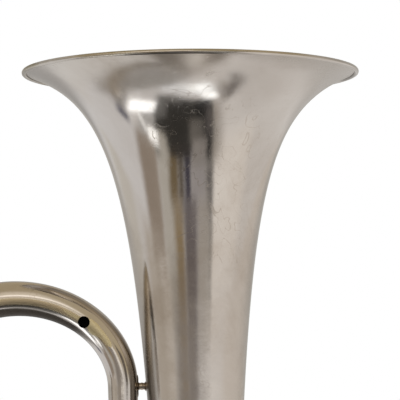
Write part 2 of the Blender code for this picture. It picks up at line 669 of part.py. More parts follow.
def build_tuning_section(casings):
    """The two fixed sleeves of the main tuning slide, and the slide with its water key."""
    rear = [Vector((INNER_X, 0, TUNING_TOP_Z)), Vector((INNER_X, 0, TUNING_FOOT_Z))]
    tube("tuning_sleeve_rear", rear, [TUNING_SLEEVE_RADIUS] * 2, "silver_plate", wall=TUBE_WALL)
    start = Vector((VALVE_XS[2] + SPIGOT, VALVE_Y, PORT_Z))
    centre = Vector((INNER_X - ELBOW_RADIUS, VALVE_Y, PORT_Z - ELBOW_RADIUS))
    elbow = arc(centre, AXIS_Z * ELBOW_RADIUS, AXIS_X * ELBOW_RADIUS, BEND_SEGMENTS)
    route = [start, *elbow, Vector((INNER_X, VALVE_Y, TUNING_FOOT_Z))]
    radii = [SLEEVE_RADIUS, SLEEVE_RADIUS] + [TUNING_SLEEVE_RADIUS] * (len(route) - 2)
    build_sleeve("tuning_sleeve_front", casings[2], route, radii)

    centre = Vector((INNER_X, VALVE_Y / 2, TUNING_FOOT_Z - CROOK_STUB))
    body = build_slide(
        "main_tuning_slide", centre, -AXIS_Z, AXIS_Y, TUNING_SLEEVE, TUNING_CROOK_RADIUS, TUNING_LEG_RADIUS
    )
    build_water_key(body, centre)


def build_water_key(slide_body, centre):
    """A lever that holds a cork against the drain nipple under the main tuning slide's crook."""
    reach = TUNING_CROOK_RADIUS + TUNING_LEG_RADIUS
    outward = Vector((0, -math.cos(KEY_ANGLE), -math.sin(KEY_ANGLE)))
    pivot = outward * (reach + KEY_STAND_OFF)
    saddle_width = KEY_BARREL_LENGTH + 2 * FIT + KEY_BARREL_RADIUS
    build_nipple(slide_body, reach)
    build_saddle(slide_body, reach, outward, pivot, saddle_width)
    pin = drum(KEY_PIN_RADIUS, saddle_width, sides=SMALL_STEPS)
    add_piece("water_key_pin", pin, "spring_steel", slide_body, pivot, AXIS_X)

    body = carrier("water_key_axis", centre + pivot)
    cork_place = -AXIS_Z * (reach + NIPPLE_HEIGHT + FIT + CORK_HEIGHT) - pivot
    cork = drum(CORK_RADIUS, CORK_HEIGHT, centred=False, sides=SMALL_STEPS)
    add_piece("water_key_cork", cork, "cork", body, cork_place)
    cup_place = cork_place - AXIS_Z * (FIT + KEY_WIRE + KEY_CUP_FLOOR)
    touch = Vector((0, -KEY_TOUCH_REACH, KEY_TOUCH_RISE))
    pivot_point = Vector((0, 0, 0))
    lower = ease(cup_place, -AXIS_Y, pivot_point, AXIS_Z, BEND_SEGMENTS, KEY_ARM_PULL)
    upper = ease(pivot_point, AXIS_Z, touch, AXIS_Z, BEND_SEGMENTS, KEY_ARM_PULL)
    route = lower + upper[1:]
    radii = [KEY_WIRE] * len(route)
    lever = as_mesh(tube("water_key_lever", route, radii, "worn_brass", sides=WIRE_SIDES, parent=body))
    additions = {
        "key_barrel": (drum(KEY_BARREL_RADIUS, KEY_BARREL_LENGTH), pivot_point, AXIS_X),
        "key_cup": (drum(CORK_RADIUS, KEY_WIRE + KEY_CUP_FLOOR, centred=False), cup_place, AXIS_Z),
        "key_touch": (drum(KEY_TOUCH_RADIUS, 2 * KEY_WIRE), touch, AXIS_Y),
    }
    for name, (mesh, place, way) in additions.items():
        boolean(lever, cutter(name, mesh, body, place, way), "UNION")
    drill(lever, pivot_point, AXIS_X, KEY_PIN_RADIUS + FIT, 2 * saddle_width, body, centred=True)


def build_nipple(slide_body, reach):
    """Joins the drain nipple to the lowest point of the crook and drills it through into the bore."""
    slide = as_mesh(bpy.data.objects["main_tuning_slide"])
    sag = TUNING_LEG_RADIUS - math.sqrt(TUNING_LEG_RADIUS**2 - NIPPLE_RADIUS**2)
    root = sag + TUBE_WALL / 2
    nipple = drum(NIPPLE_RADIUS, NIPPLE_HEIGHT + root, centred=False)
    boolean(slide, cutter("nipple", nipple, slide_body, (0, 0, root - reach), -AXIS_Z), "UNION")
    bore_middle = (0, 0, TUNING_LEG_RADIUS - reach)
    length = 2 * (TUNING_LEG_RADIUS + NIPPLE_HEIGHT)
    drill(slide, bore_middle, -AXIS_Z, NIPPLE_RADIUS / 2, length, slide_body)


def build_saddle(slide_body, reach, outward, pivot, width):
    """The forked post on the crook that holds the key's pin."""
    depth = KEY_STAND_OFF + KEY_PIN_RADIUS + 2 * FIT
    size = (width, 2 * KEY_BARREL_RADIUS, depth)
    middle = outward * (reach + FIT + depth / 2)
    saddle = add_piece("water_key_saddle", block(size), "worn_brass", slide_body, middle, outward)
    floor = KEY_STAND_OFF - KEY_BARREL_RADIUS - KEY_WIRE
    slot_size = (KEY_BARREL_LENGTH + 2 * FIT, 4 * KEY_BARREL_RADIUS, 2 * depth)
    slot_middle = outward * (reach + floor + depth)
    boolean(saddle, cutter("saddle_slot", block(slot_size), slide_body, slot_middle, outward))
    drill(saddle, pivot, AXIS_X, KEY_PIN_RADIUS + FIT, 2 * width, slide_body, centred=True)


def mouthpipe_route():
    """The mouthpipe's points: straight in, round the bell to its back, then down to the first valve."""
    start = Vector((RECEIVER_X, MOUTHPIPE_Y, 0))
    bend_start = Vector((RECEIVER_X, -WRAP_RADIUS - MOUTHPIPE_BEND, 0))
    bend_centre = bend_start + AXIS_X * MOUTHPIPE_BEND
    bend = arc(bend_centre, -AXIS_X * MOUTHPIPE_BEND, AXIS_Y * MOUTHPIPE_BEND, BEND_SEGMENTS)
    wrap = u_bend((BELL_X, 0, 0), -AXIS_Y * WRAP_RADIUS, AXIS_X * WRAP_RADIUS, WRAP_SEGMENTS)
    first_x = VALVE_XS[0]
    rear_centre = Vector((first_x + REAR_BEND, WRAP_RADIUS - REAR_BEND, 0))
    rear = arc(rear_centre, AXIS_Y * REAR_BEND, -AXIS_X * REAR_BEND, BEND_SEGMENTS)
    run_start, run_end = wrap[-1], rear[0]
    run = [run_start.lerp(run_end, step / BEND_SEGMENTS) for step in range(1, BEND_SEGMENTS)]
    end = Vector((first_x, VALVE_Y + SPIGOT, 0))
    plan = [start, *bend, *wrap[1:], *run, *rear, end]
    distances = lengths_along(plan)
    drop_from = distances[plan.index(wrap[WRAP_SEGMENTS // 4])]
    drop_to = distances[-2]
    for point, distance in zip(plan, distances):
        share = smooth_step((distance - drop_from) / (drop_to - drop_from))
        point.z = MOUTHPIPE_Z + share * (PORT_Z - MOUTHPIPE_Z)
    return plan


def build_mouthpipe(casings):
    """The tapering mouthpipe, the receiver on its end and the mouthpiece in the receiver."""
    route = mouthpipe_route()
    radii = taper(route, MOUTHPIPE_START_RADIUS, MOUTHPIPE_END_RADIUS)
    tube("mouthpipe", route, radii, "silver_plate", wall=TUBE_WALL, sides=MOUTHPIPE_SIDES)
    end = route[-1]
    drill(casings[0], end - AXIS_Y * SPIGOT, AXIS_Y, MOUTHPIPE_END_RADIUS + FIT, 2 * CASING_RADIUS)

    lap = MOUTHPIPE_START_RADIUS + 2 * FIT
    mouth_bore = SHANK_MOUTH_RADIUS + FIT
    seat_bore = SHANK_TIP_RADIUS + FIT
    seat = RECEIVER_LENGTH - SHANK_DEPTH
    profile = [
        (mouth_bore + RECEIVER_WALL, RECEIVER_LENGTH),
        (mouth_bore + RECEIVER_WALL, seat),
        (lap + RECEIVER_WALL / 2, 0),
        (lap, 0),
        (lap, RECEIVER_LAP + FIT),
        (seat_bore, RECEIVER_LAP + FIT),
        (seat_bore, seat - FIT),
        (mouth_bore, RECEIVER_LENGTH),
    ]
    foot = Vector((RECEIVER_X, MOUTHPIPE_Y + RECEIVER_LAP, MOUTHPIPE_Z))
    turned("mouthpiece_receiver", profile, "silver_plate", steps=CAP_STEPS, location=foot, direction=-AXIS_Y)
    build_mouthpiece(foot - AXIS_Y * RECEIVER_LENGTH)
    return route


def build_mouthpiece(mouth):
    """A turned cup on a tapered shank, which pulls out of the receiver's mouth towards the player."""
    rim_top = MOUTHPIECE_LENGTH
    rim_foot = rim_top - MOUTHPIECE_RIM_HEIGHT
    edge = MOUTHPIECE_RIM_HEIGHT / 3
    angles = [math.pi / 2 * step / CUP_SEGMENTS for step in range(CUP_SEGMENTS + 1)]
    skirt = CUP_RADIUS + CUP_WALL - NECK_RADIUS
    bowl = CUP_RADIUS - THROAT_RADIUS
    throat = rim_top - CUP_DEPTH
    tip = -SHANK_DEPTH + FIT
    rim = [
        (MOUTHPIECE_RIM_RADIUS - edge, rim_top),
        (MOUTHPIECE_RIM_RADIUS, rim_top - edge),
        (MOUTHPIECE_RIM_RADIUS, rim_foot),
    ]
    outside = [(NECK_RADIUS + skirt * math.cos(a), rim_foot - CUP_DEPTH * math.sin(a)) for a in angles]
    shank = [(SHANK_MOUTH_RADIUS, FIT), (SHANK_TIP_RADIUS, tip), (SHANK_TIP_RADIUS - TUBE_WALL, tip)]
    backbore = [(THROAT_RADIUS, throat - THROAT_LENGTH)]
    inside = [(THROAT_RADIUS + bowl * math.cos(a), rim_top - CUP_DEPTH * math.sin(a)) for a in angles[::-1]]
    profile = rim + outside + shank + backbore + inside
    body = carrier("mouthpiece_axis", mouth)
    turned("mouthpiece", profile, "silver_plate", steps=CAP_STEPS, parent=body, direction=-AXIS_Y)


def build_brace(name, start, end):
    """A turned post with a bead at its middle and a small round foot against each tube."""
    start, end = Vector(start), Vector(end)
    length = (end - start).length
    foot, middle = BRACE_FOOT_HEIGHT, length / 2
    bead = min(BRACE_BEAD_HEIGHT, length / 3) / 2
    profile = [
        (0, length),
        (BRACE_FOOT_RADIUS, length),
        (BRACE_POST_RADIUS, length - foot),
        (BRACE_POST_RADIUS, middle + bead),
        (BRACE_BEAD_RADIUS, middle + bead / 2),
        (BRACE_BEAD_RADIUS, middle - bead / 2),
        (BRACE_POST_RADIUS, middle - bead),
        (BRACE_POST_RADIUS, foot),
        (BRACE_FOOT_RADIUS, 0),
        (0, 0),
    ]
    turned(
        name, profile, "silver_plate", steps=BRACE_STEPS, ring=False, location=start, direction=end - start
    )


def build_braces(pipe_route):
    """The posts that tie the bell, the branches, the sleeves and the mouthpipe together."""
    bow_half = TOP_BOW_RADIUS * math.sqrt(1 - (BRACE_RISE / TOP_BOW_RISE) ** 2)
    bow_x = TOP_BOW_X + bow_half + TOP_BOW_EXIT_RADIUS + 2 * FIT
    bell_x = BELL_X - bell_radius_at(BRACE_Z + BRACE_FOOT_RADIUS) - FIT
    build_brace("bell_brace_upper", (bow_x, 0, BRACE_Z), (bell_x, 0, BRACE_Z))

    low_z = TUNING_FOOT_Z + TUNING_SLEEVE / 2
    sleeve_x = INNER_X + TUNING_SLEEVE_RADIUS + FIT
    bell_x = BELL_X - bell_radius_at(low_z + BRACE_FOOT_RADIUS) - FIT
    build_brace("bell_brace_lower", (sleeve_x, 0, low_z), (bell_x, 0, low_z))

    front = -TUNING_SLEEVE_RADIUS - FIT
    back = VALVE_Y - front
    build_brace("tuning_slide_brace", (INNER_X, front, low_z), (INNER_X, back, low_z))

    share = (LOWER_PORT_Z - BOTTOM_JOINT_Z) / (TOP_JOINT_Z - BOTTOM_JOINT_Z)
    branch = OUTER_BRANCH_FOOT_RADIUS + share * (TOP_BOW_ENTRY_RADIUS - OUTER_BRANCH_FOOT_RADIUS)
    branch_y = -branch - FIT
    sleeve_y = VALVE_Y + SLEEVE_RADIUS + FIT
    build_brace("outer_branch_brace", (OUTER_X, branch_y, LOWER_PORT_Z), (OUTER_X, sleeve_y, LOWER_PORT_Z))

    bell_y = -bell_radius_at(MOUTHPIPE_Z + BRACE_FOOT_RADIUS) - FIT
    wrap_inside = WRAP_RADIUS - pipe_radius_near(pipe_route, BELL_X, -WRAP_RADIUS)
    pipe_y = -math.sqrt(wrap_inside**2 - BRACE_FOOT_RADIUS**2) + FIT
    build_brace("mouthpipe_bell_brace", (BELL_X, bell_y, MOUTHPIPE_Z), (BELL_X, pipe_y, MOUTHPIPE_Z))

    rear_z = height_behind(pipe_route, INNER_X)
    share = (rear_z - TUNING_TOP_Z) / (TOP_JOINT_Z - TUNING_TOP_Z)
    branch = TUNING_SLEEVE_RADIUS + share * (TOP_BOW_EXIT_RADIUS - TUNING_SLEEVE_RADIUS)
    pipe_y = WRAP_RADIUS - pipe_radius_near(pipe_route, INNER_X, WRAP_RADIUS) - FIT
    build_brace("mouthpipe_rear_brace", (INNER_X, branch + FIT, rear_z), (INNER_X, pipe_y, rear_z))


def pipe_radius_near(route, x, y):
    """Outer radius of the mouthpipe at the point of its route that lies nearest to a place in plan."""
    radii = taper(route, MOUTHPIPE_START_RADIUS, MOUTHPIPE_END_RADIUS)
    gaps = [math.hypot(point.x - x, point.y - y) for point in route]
    return radii[gaps.index(min(gaps))]


def height_behind(route, x):
    """Height of the mouthpipe's rear run where it passes behind x."""
    for first, second in zip(route, route[1:]):
        if first.y > 0 and second.x <= x <= first.x:
            share = (first.x - x) / (first.x - second.x)
            return first.z + share * (second.z - first.z)
    return PORT_Z


def build_thumb_ring():
    """The ring in front of the first valve that the right thumb goes through."""
    reach = THUMB_RING_RADIUS + THUMB_RING_WIRE
    ring = [
        (
            THUMB_RING_RADIUS + THUMB_RING_WIRE * math.cos(-2 * math.pi * side / WIRE_SIDES),
            THUMB_RING_WIRE * math.sin(-2 * math.pi * side / WIRE_SIDES),
        )
        for side in range(WIRE_SIDES)
    ]
    middle = (VALVE_XS[0], VALVE_Y - CASING_RADIUS - FIT - reach, CASING_Z + THUMB_RING_HEIGHT)
    turned("thumb_ring", ring, "silver_plate", steps=SMALL_STEPS, location=middle, direction=AXIS_X)


clear_scene()
PIECES = make_collection("upright_horn")
CUTTERS = make_collection("cutters", hidden=True)
MATERIALS = {name: make_finish(name) for name in FINISHES}
HORN = bpy.data.objects.new("horn", None)
PIECES.objects.link(HORN)

build_bell()
build_main_branch()
valve_casings = [build_valve(number, x) for number, x in enumerate(VALVE_XS, start=1)]
build_crossovers(valve_casings)
build_valve_loops(valve_casings)
build_tuning_section(valve_casings)
pipe_points = build_mouthpipe(valve_casings)
build_braces(pipe_points)
build_thumb_ring()
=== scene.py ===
# %% [markdown]
# # Dressing an upright horn in silver plate
# The horn is already built as solids: a flared bell, a bow of narrow tube beside it, three piston
# valves, their slides and a mouthpiece. Those solids are coarse, so this lesson makes a smooth surface
# for every one of them, in the same place, and gives each a metal that looks used. We load the solids
# first, because every later measure is read from them.

import json
import math

import bmesh
import bpy
import numpy as np
from mathutils import Matrix, Vector


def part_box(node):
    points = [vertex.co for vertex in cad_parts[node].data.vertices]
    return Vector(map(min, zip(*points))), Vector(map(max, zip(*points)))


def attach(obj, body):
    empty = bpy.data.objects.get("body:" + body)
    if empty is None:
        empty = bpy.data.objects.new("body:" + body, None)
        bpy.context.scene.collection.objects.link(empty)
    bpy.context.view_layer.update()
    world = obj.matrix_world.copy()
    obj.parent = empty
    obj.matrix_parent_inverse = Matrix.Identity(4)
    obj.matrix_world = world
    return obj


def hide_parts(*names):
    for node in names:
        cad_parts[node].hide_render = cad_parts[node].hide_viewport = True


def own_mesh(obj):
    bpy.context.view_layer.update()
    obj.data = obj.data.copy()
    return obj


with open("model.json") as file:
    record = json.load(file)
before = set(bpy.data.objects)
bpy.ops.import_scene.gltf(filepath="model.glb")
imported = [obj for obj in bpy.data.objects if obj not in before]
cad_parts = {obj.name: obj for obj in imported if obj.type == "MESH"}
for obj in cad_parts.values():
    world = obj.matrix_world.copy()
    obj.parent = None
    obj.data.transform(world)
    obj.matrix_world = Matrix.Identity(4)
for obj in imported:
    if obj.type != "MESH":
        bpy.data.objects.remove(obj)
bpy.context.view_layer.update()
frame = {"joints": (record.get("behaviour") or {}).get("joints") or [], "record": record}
record = frame["record"]
BODY_OF = {node: body for body, nodes in record["behaviour"]["bodies"].items() for node in nodes}
SLOT_OF = {row["node"]: row["material_slot"] for row in record["subparts"]}


# %% [markdown]
# ## Reading places from the solids
# A piece that is placed by typed numbers drifts when the solid changes. A piece that asks the solid
# where it is can't drift. Two small questions are enough for most of the horn: where are a solid's
# corners, and where is its middle?

# %% Ask a solid where it is
AXIS_X, AXIS_Y, AXIS_Z = np.eye(3)
FIT = 0.0003  # gap between pieces that are soldered or screwed together
SHEET = 0.0010  # wall of the bell and the large bows
TUBE_WALL = 0.0007  # wall of the narrow tubing


def corners(solid):
    """Lowest and highest corner of a solid, as two rows of three numbers."""
    low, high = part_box(solid)
    return np.array(low), np.array(high)


def middle(solid):
    """Halfway between the two corners."""
    return sum(corners(solid)) / 2


def half_size(solid):
    """Half of the way from the lowest corner to the highest."""
    low, high = corners(solid)
    return (high - low) / 2


BELL_X = middle("bell_rim_wire")[0]
RIM_TOP = corners("bell_rim_wire")[1][2]
RIM_RADIUS, _, WIRE_RADIUS = half_size("bell_rim_wire")
print("bell axis at x", round(BELL_X, 4), "rim", round(2 * RIM_RADIUS, 4), "wide at z", round(RIM_TOP, 4))


# %% [markdown]
# ## The camera
# The photograph was taken from a few metres away with a long lens, a little below the level of the
# rim, so the camera looks slightly up and the far edge of the bell hides behind the near one. A long
# lens keeps the flare's outline true. The picture leans by one degree, and a roll of the camera copies
# that lean without tilting the horn.

# %% Place the camera
CAMERA_DISTANCE = 2.77
CAMERA_BELOW_RIM = 0.3532
CAMERA_ASIDE = 0.0063  # of the bell's axis
AIM_BELOW_RIM = 0.1081
CAMERA_ROLL = math.radians(-1.0)
LENS = 302


def look_along(eye, target, roll):
    """Camera matrix: -Z along the line of sight, +Y as near to the world's up as it gets, then rolled."""
    way = (target - eye).to_track_quat("-Z", "Y")
    return Matrix.Translation(eye) @ way.to_matrix().to_4x4() @ Matrix.Rotation(roll, 4, "Z")


camera = bpy.data.objects.new("camera", bpy.data.cameras.new("camera"))
bpy.context.scene.collection.objects.link(camera)
bpy.context.scene.camera = camera
bpy.context.scene.view_settings.view_transform = "Standard"
camera.data.lens = LENS
eye = Vector((BELL_X + CAMERA_ASIDE, -CAMERA_DISTANCE, RIM_TOP - CAMERA_BELOW_RIM))
aim = Vector((BELL_X + CAMERA_ASIDE, 0, RIM_TOP - AIM_BELOW_RIM))
camera.matrix_world = look_along(eye, aim, CAMERA_ROLL)
print("camera looks up by", round(math.degrees(math.atan2(aim.z - eye.z, CAMERA_DISTANCE)), 2), "degrees")


# %% [markdown]
# ## Surfaces from arrays
# Nearly every piece of a horn is either turned on a lathe or drawn as a tube along a bent line. Both
# are a grid of points: rows run along the profile and columns run round the axis. Whole grids are
# worked out at once with numpy, and one helper turns a grid into a closed mesh whose faces point out.
# The sign of the enclosed volume tells which way the faces point.

# %% Grids to meshes
WELD = 1e-6
SHARP_ANGLE = math.radians(38)


def grid_faces(rows, columns, closed):
    """Four corners of each cell. Columns wrap round the axis, and so do the rows of a closed profile."""
    row = np.arange(rows if closed else rows - 1)[:, None]
    column = np.arange(columns)[None, :]
    below, beside = (row + 1) % rows, (column + 1) % columns
    cells = ((row, column), (row, beside), (below, beside), (below, column))
    return np.stack(np.broadcast_arrays(*(a * columns + b for a, b in cells)), axis=-1).reshape(-1, 4)


def outward(points, faces):
    """The faces, reversed if the volume summed over their two triangles is negative."""
    a, b, c, d = (points[faces[:, k]] for k in range(4))
    volume = np.sum(a * np.cross(b, c)) + np.sum(a * np.cross(c, d))
    return faces if volume > 0 else faces[:, ::-1]


def mesh_of(name, shells):
    """One mesh of closed shells. A shell that starts in a single spot ends in poles. Others are rings."""
    points, faces, count = [], [], 0
    for shell in shells:
        rows, columns, _ = shell.shape
        spots = shell.reshape(-1, 3)
        pole = np.ptp(shell[0], axis=0).max() < WELD
        faces.append(outward(spots - spots.mean(axis=0), grid_faces(rows, columns, not pole)) + count)
        points.append(spots)
        count += len(spots)
    points, faces = np.concatenate(points), np.concatenate(faces)
    mesh = bpy.data.meshes.new(name)
    mesh.vertices.add(len(points))
    mesh.vertices.foreach_set("co", points.astype(np.float32).ravel())
    mesh.loops.add(faces.size)
    mesh.loops.foreach_set("vertex_index", faces.astype(np.int32).ravel())
    mesh.polygons.add(len(faces))
    mesh.polygons.foreach_set("loop_start", np.arange(0, faces.size, 4, dtype=np.int32))
    mesh.update(calc_edges=True)
    weld(mesh)
    return mesh


def weld(mesh):
    """Merges the repeated points at poles, drops faces of no area and shades smooth except at real edges."""
    shape = bmesh.new()
    shape.from_mesh(mesh)
    bmesh.ops.remove_doubles(shape, verts=shape.verts, dist=WELD)
    bmesh.ops.dissolve_degenerate(shape, edges=shape.edges, dist=WELD)
    shape.to_mesh(mesh)
    shape.free()
    mesh.shade_smooth()
    mesh.set_sharp_from_angle(angle=SHARP_ANGLE)


print("one cell has corners", grid_faces(2, 3, False)[0].tolist())


# %% [markdown]
# ## Pieces and their marks
# Every piece rides on a body, stands for a solid and carries its finish. A finish sometimes has to know
# where on a piece it is, because dirt and painted shade sit in one corner and brass shows at one edge.
# A share from 0 to 1, written on the piece's own points, tells it. A step with an S-shaped edge keeps
# the borders of such marks soft.

# %% Pieces and marks
def spots_of(piece):
    """The places of a piece's points, one row for each."""
    flat = np.zeros(3 * len(piece.data.vertices))
    piece.data.vertices.foreach_get("co", flat)
    return flat.reshape(-1, 3)


def mark(piece, name, values):
    """Writes a share from 0 to 1 on each point of a piece, for its finish to read."""
    made = piece.data.attributes.new(name, "FLOAT", "POINT")
    made.data.foreach_set("value", np.clip(values, 0, 1).astype(np.float32).ravel())


def step(value, low, high):
    """Zero below low, one above high and 3t^2 - 2t^3 between them."""
    share = np.clip((value - low) / (high - low), 0, 1)
    return share**2 * (3 - 2 * share)


def within(value, bounds, soft):
    """One between two bounds, with an S-shaped edge that reaches a distance soft to both sides of each."""
    low, high = bounds
    return step(value, low - soft, low + soft) * step(-value, -high - soft, soft - high)


def smooth(solid, shells, finish):
    """The smooth surface that stands for one solid, on the same body and with the given finish."""
    return extra("smooth_" + solid, shells, finish, BODY_OF[solid], SLOT_OF[solid], solid)


def extra(name, shells, finish, body, slot, *solids):
    """Links a piece with its finish, lets it ride on its body and stand for its solids. The slot is not used.
    """
    piece = bpy.data.objects.new(name, mesh_of(name, shells))
    bpy.context.scene.collection.objects.link(piece)
    piece.data.materials.append(finish)
    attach(piece, body)
    if solids:
        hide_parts(*solids)
    return piece


print("halfway, a step is at", step(0.5, 0, 1))


# %% [markdown]
# ## Turned pieces
# A lathe needs a profile and a line to turn about. Corners of a turned profile are rounded by a short
# parabola, because metal never ends in a knife edge and a rounded corner catches the light.

# %% Lathe
CORNER_SHARE = 0.48  # of the shorter edge at a corner that its rounding may take
ALONG_X = 0.9  # an axis with more of +X than this is crossed with +Y instead


def unit(vectors):
    """Each vector divided by its own length."""
    return vectors / np.linalg.norm(vectors, axis=-1, keepdims=True)


def eased(profile, fillet, steps=5, ring=True):
    """Each corner becomes a parabola from a point before it to one after it, both within half an edge."""
    here = np.array(profile, float)
    before, after = np.roll(here, 1, axis=0) - here, np.roll(here, -1, axis=0) - here
    reach = np.minimum(np.linalg.norm(before, axis=1), np.linalg.norm(after, axis=1))
    cut = np.minimum(fillet, CORNER_SHARE * reach)[:, None]
    if not ring:
        cut[[0, -1]] = 0
    start, end = here + unit(before) * cut, here + unit(after) * cut
    t = np.linspace(0, 1, steps)[None, :, None]
    bend = (1 - t) ** 2 * start[:, None] + 2 * t * (1 - t) * here[:, None] + t**2 * end[:, None]
    points = bend.reshape(-1, 2)
    moved = np.linalg.norm(np.diff(points, axis=0, prepend=points[:1] - 1), axis=1) > WELD
    return points[moved]


def turned(profile, foot, axis=AXIS_Z, sides=72):
    """Point = foot + height x axis + radius x (cos turn x across + sin turn x along), row by row."""
    across = unit(np.cross(axis, AXIS_X if abs(axis[0]) < ALONG_X else AXIS_Y))
    along = np.cross(axis, across)
    turn = np.linspace(0, 2 * np.pi, sides, endpoint=False)[:, None]
    spokes = np.cos(turn) * across + np.sin(turn) * along
    profile = np.asarray(profile)
    return foot + profile[:, 1, None, None] * axis + profile[:, 0, None, None] * spokes


print("an eased square has", len(eased([(0, 0), (1, 0), (1, 1), (0, 1)], 0.1)), "points")


# %% [markdown]
# ## Drawn tubes
# A tube needs a path and a profile of distance and radius along it: out along the outside and back along
# the bore, so that the wall has a thickness. Curves with a bevel would be quicker to write, but they have
# no wall and no collars.

# %% Tube along a path
LIP = 0.00025  # how far a tube's end is rounded


def distances(path):
    """How far along the path each of its points lies."""
    return np.concatenate([[0], np.cumsum(np.linalg.norm(np.diff(path, axis=0), axis=1))])


def carried(path, profile, beside, sides=48):
    """Point = path + radius x (cos turn x side + sin turn x up). Side is square to path and beside."""
    far = distances(path)
    way = unit(np.gradient(path, far, axis=0))
    side = unit(np.cross(way, beside))
    up = np.cross(way, side)
    where, radius = np.asarray(profile).T

    def at(rows):
        """Rows that belong to the path's points, read off between them at each distance."""
        return np.stack([np.interp(where, far, rows[:, k]) for k in range(3)], axis=-1)[:, None]

    turn = np.linspace(0, 2 * np.pi, sides, endpoint=False)[None, :, None]
    return at(path) + radius[:, None, None] * (np.cos(turn) * at(side) + np.sin(turn) * at(up))


def tube_profile(length, first, last, wall, rows, collars):
    """Out along the outside, where the radius changes evenly and collars stand proud, and back inside."""
    far = np.concatenate([[0, LIP], np.linspace(LIP, length - LIP, rows)[1:-1], [length - LIP, length]])
    steps = [(a, a + LIP, b - LIP, b) for a, b, _ in collars]
    far = np.unique(np.clip(np.concatenate([far, *steps]), 0, length))
    radius = first + (last - first) * far / length
    lip = np.where((far < LIP / 2) | (far > length - LIP / 2), LIP, 0)
    proud = sum(h * np.clip((far - a) / LIP, 0, 1) * np.clip((b - far) / LIP, 0, 1) for a, b, h in collars)
    outside = np.column_stack([far, radius - lip + proud])
    inside = np.column_stack([far, radius - wall])
    return np.concatenate([outside, inside[::-1]])


def tube(path, first, last, wall, beside, sides=48, spacing=0.002, collars=()):
    """A hollow tube along a path, with about one row for each spacing. A collar is (start, end, height)."""
    length = distances(path)[-1]
    rows = max(4, int(length / spacing))
    return carried(path, tube_profile(length, first, last, wall, rows, collars), beside, sides)


print("tubes end in a lip of", LIP)


# %% [markdown]
# ## Paths
# A bent tube on a real horn is straight, then an arc, then straight again, because it is bent round a
# form. A path is put together in the same way, and points that two runs share are kept once.

# %% Paths
def arc(centre, start, end, turn=np.pi / 2, count=40):
    """Points centre + cos(angle) x start + sin(angle) x end, for angles from zero to turn."""
    angle = np.linspace(0, turn, count)[:, None]
    return np.asarray(centre) + np.cos(angle) * start + np.sin(angle) * end


def line(start, end, count=24):
    """Points start + t x (end - start), for t from 0 to 1."""
    return np.asarray(start) + np.linspace(0, 1, count)[:, None] * (np.asarray(end) - np.asarray(start))


def joined(*runs):
    """Runs of points one after the other, without the points that repeat."""
    points = np.concatenate(runs)
    return points[np.linalg.norm(np.diff(points, axis=0, prepend=points[:1] - 1), axis=1) > WELD]


print("half a circle is", round(float(distances(arc(0, AXIS_X, AXIS_Y, np.pi))[-1]), 2), "radii long")


# %% [markdown]
# ## Shader nodes in a few words
# A finish is a small graph of nodes. Wiring each one by hand takes many lines, so every helper here makes
# one node: values or sockets go in, and a socket comes out. Each pattern reads the piece's own place in
# space, so no picture is needed and neighbouring pieces carry on the same clouds.

# %% Shader helpers
MIX_SHARE, MIX_FIRST, MIX_SECOND, MIX_RESULT = 0, 6, 7, 2  # sockets of a Mix node that mixes colours


def feed(tree, socket, value):
    """Links a socket to the one that feeds it, or sets it to a plain value."""
    if isinstance(value, bpy.types.NodeSocket):
        tree.links.new(value, socket)
    else:
        socket.default_value = value


def add_node(tree, kind, inputs=(), **settings):
    """One shader node: settings are its own, and inputs are values or the sockets that feed them."""
    made = tree.nodes.new("ShaderNode" + kind)
    for name, value in settings.items():
        setattr(made, name, value)
    for key, value in dict(inputs).items():
        feed(tree, made.inputs[key], value)
    return made


def noise(tree, place, scale, detail=4, roughness=0.6, distortion=0.0):
    """Cloudy values about a half, with a grain of one part in scale of a metre."""
    inputs = {"Vector": place, "Scale": scale, "Detail": detail}
    inputs |= {"Roughness": roughness, "Distortion": distortion}
    return add_node(tree, "TexNoise", inputs).outputs[0]


def ranged(tree, value, bounds, new=(0, 1)):
    """A value between two bounds moved, evenly and without overshoot, to a new range."""
    inputs = {"Value": value, "From Min": bounds[0], "From Max": bounds[1]}
    inputs |= {"To Min": new[0], "To Max": new[1]}
    return add_node(tree, "MapRange", inputs).outputs[0]


def maths(tree, operation, first, second=0.0):
    """One sum, product or other operation on two values."""
    return add_node(tree, "Math", {0: first, 1: second}, operation=operation).outputs[0]


def mixed(tree, share, first, second):
    """First colour where share is 0, second where it is 1."""
    inputs = {MIX_SHARE: share, MIX_FIRST: first, MIX_SECOND: second}
    return add_node(tree, "Mix", inputs, data_type="RGBA").outputs[MIX_RESULT]


print("node helpers ready")


# %% [markdown]
# ## Streaks, bumps and a new finish
# Noise turns into streaks when its place is scaled apart. A bump only tilts the light and leaves the surface
# where it is, which is enough for scratches and shallow dents. A new finish starts from the standard shader,
# with its constants on the shader's own sockets.

# %% Streaks, bumps and a new finish
def stretched(tree, place, scale):
    """The same place with its three directions scaled apart, so that noise on it turns into streaks."""
    return add_node(tree, "Mapping", {"Vector": place, "Scale": scale}).outputs[0]


def bumped(tree, height, strength, depth, slope=None):
    """The slope of a surface that rises by height x depth, on top of a slope that it already has."""
    inputs = {"Height": height, "Strength": strength, "Distance": depth}
    if slope is not None:
        inputs["Normal"] = slope
    return add_node(tree, "Bump", inputs).outputs[0]


def new_finish(name, **constants):
    """A material with its shader's constants set, returned with its node tree, shader and place."""
    finish = bpy.data.materials.new(name)
    finish.use_nodes = True
    tree = finish.node_tree
    shader = tree.nodes["Principled BSDF"]
    for socket, value in constants.items():
        shader.inputs[socket].default_value = value
    place = add_node(tree, "TexCoord").outputs["Object"]
    return finish, tree, shader, place


print("finish helpers ready")


# %% [markdown]
# ## Patterns on the plate
# A single grey would look like paint. What breaks up old plate is worked out first: streaks from wiping,
# thin lines from handling, and marks that are written on a piece's own points. A thin line is the place
# where a noise passes a half, which gives a curve that closes or wanders, as a scratch does.

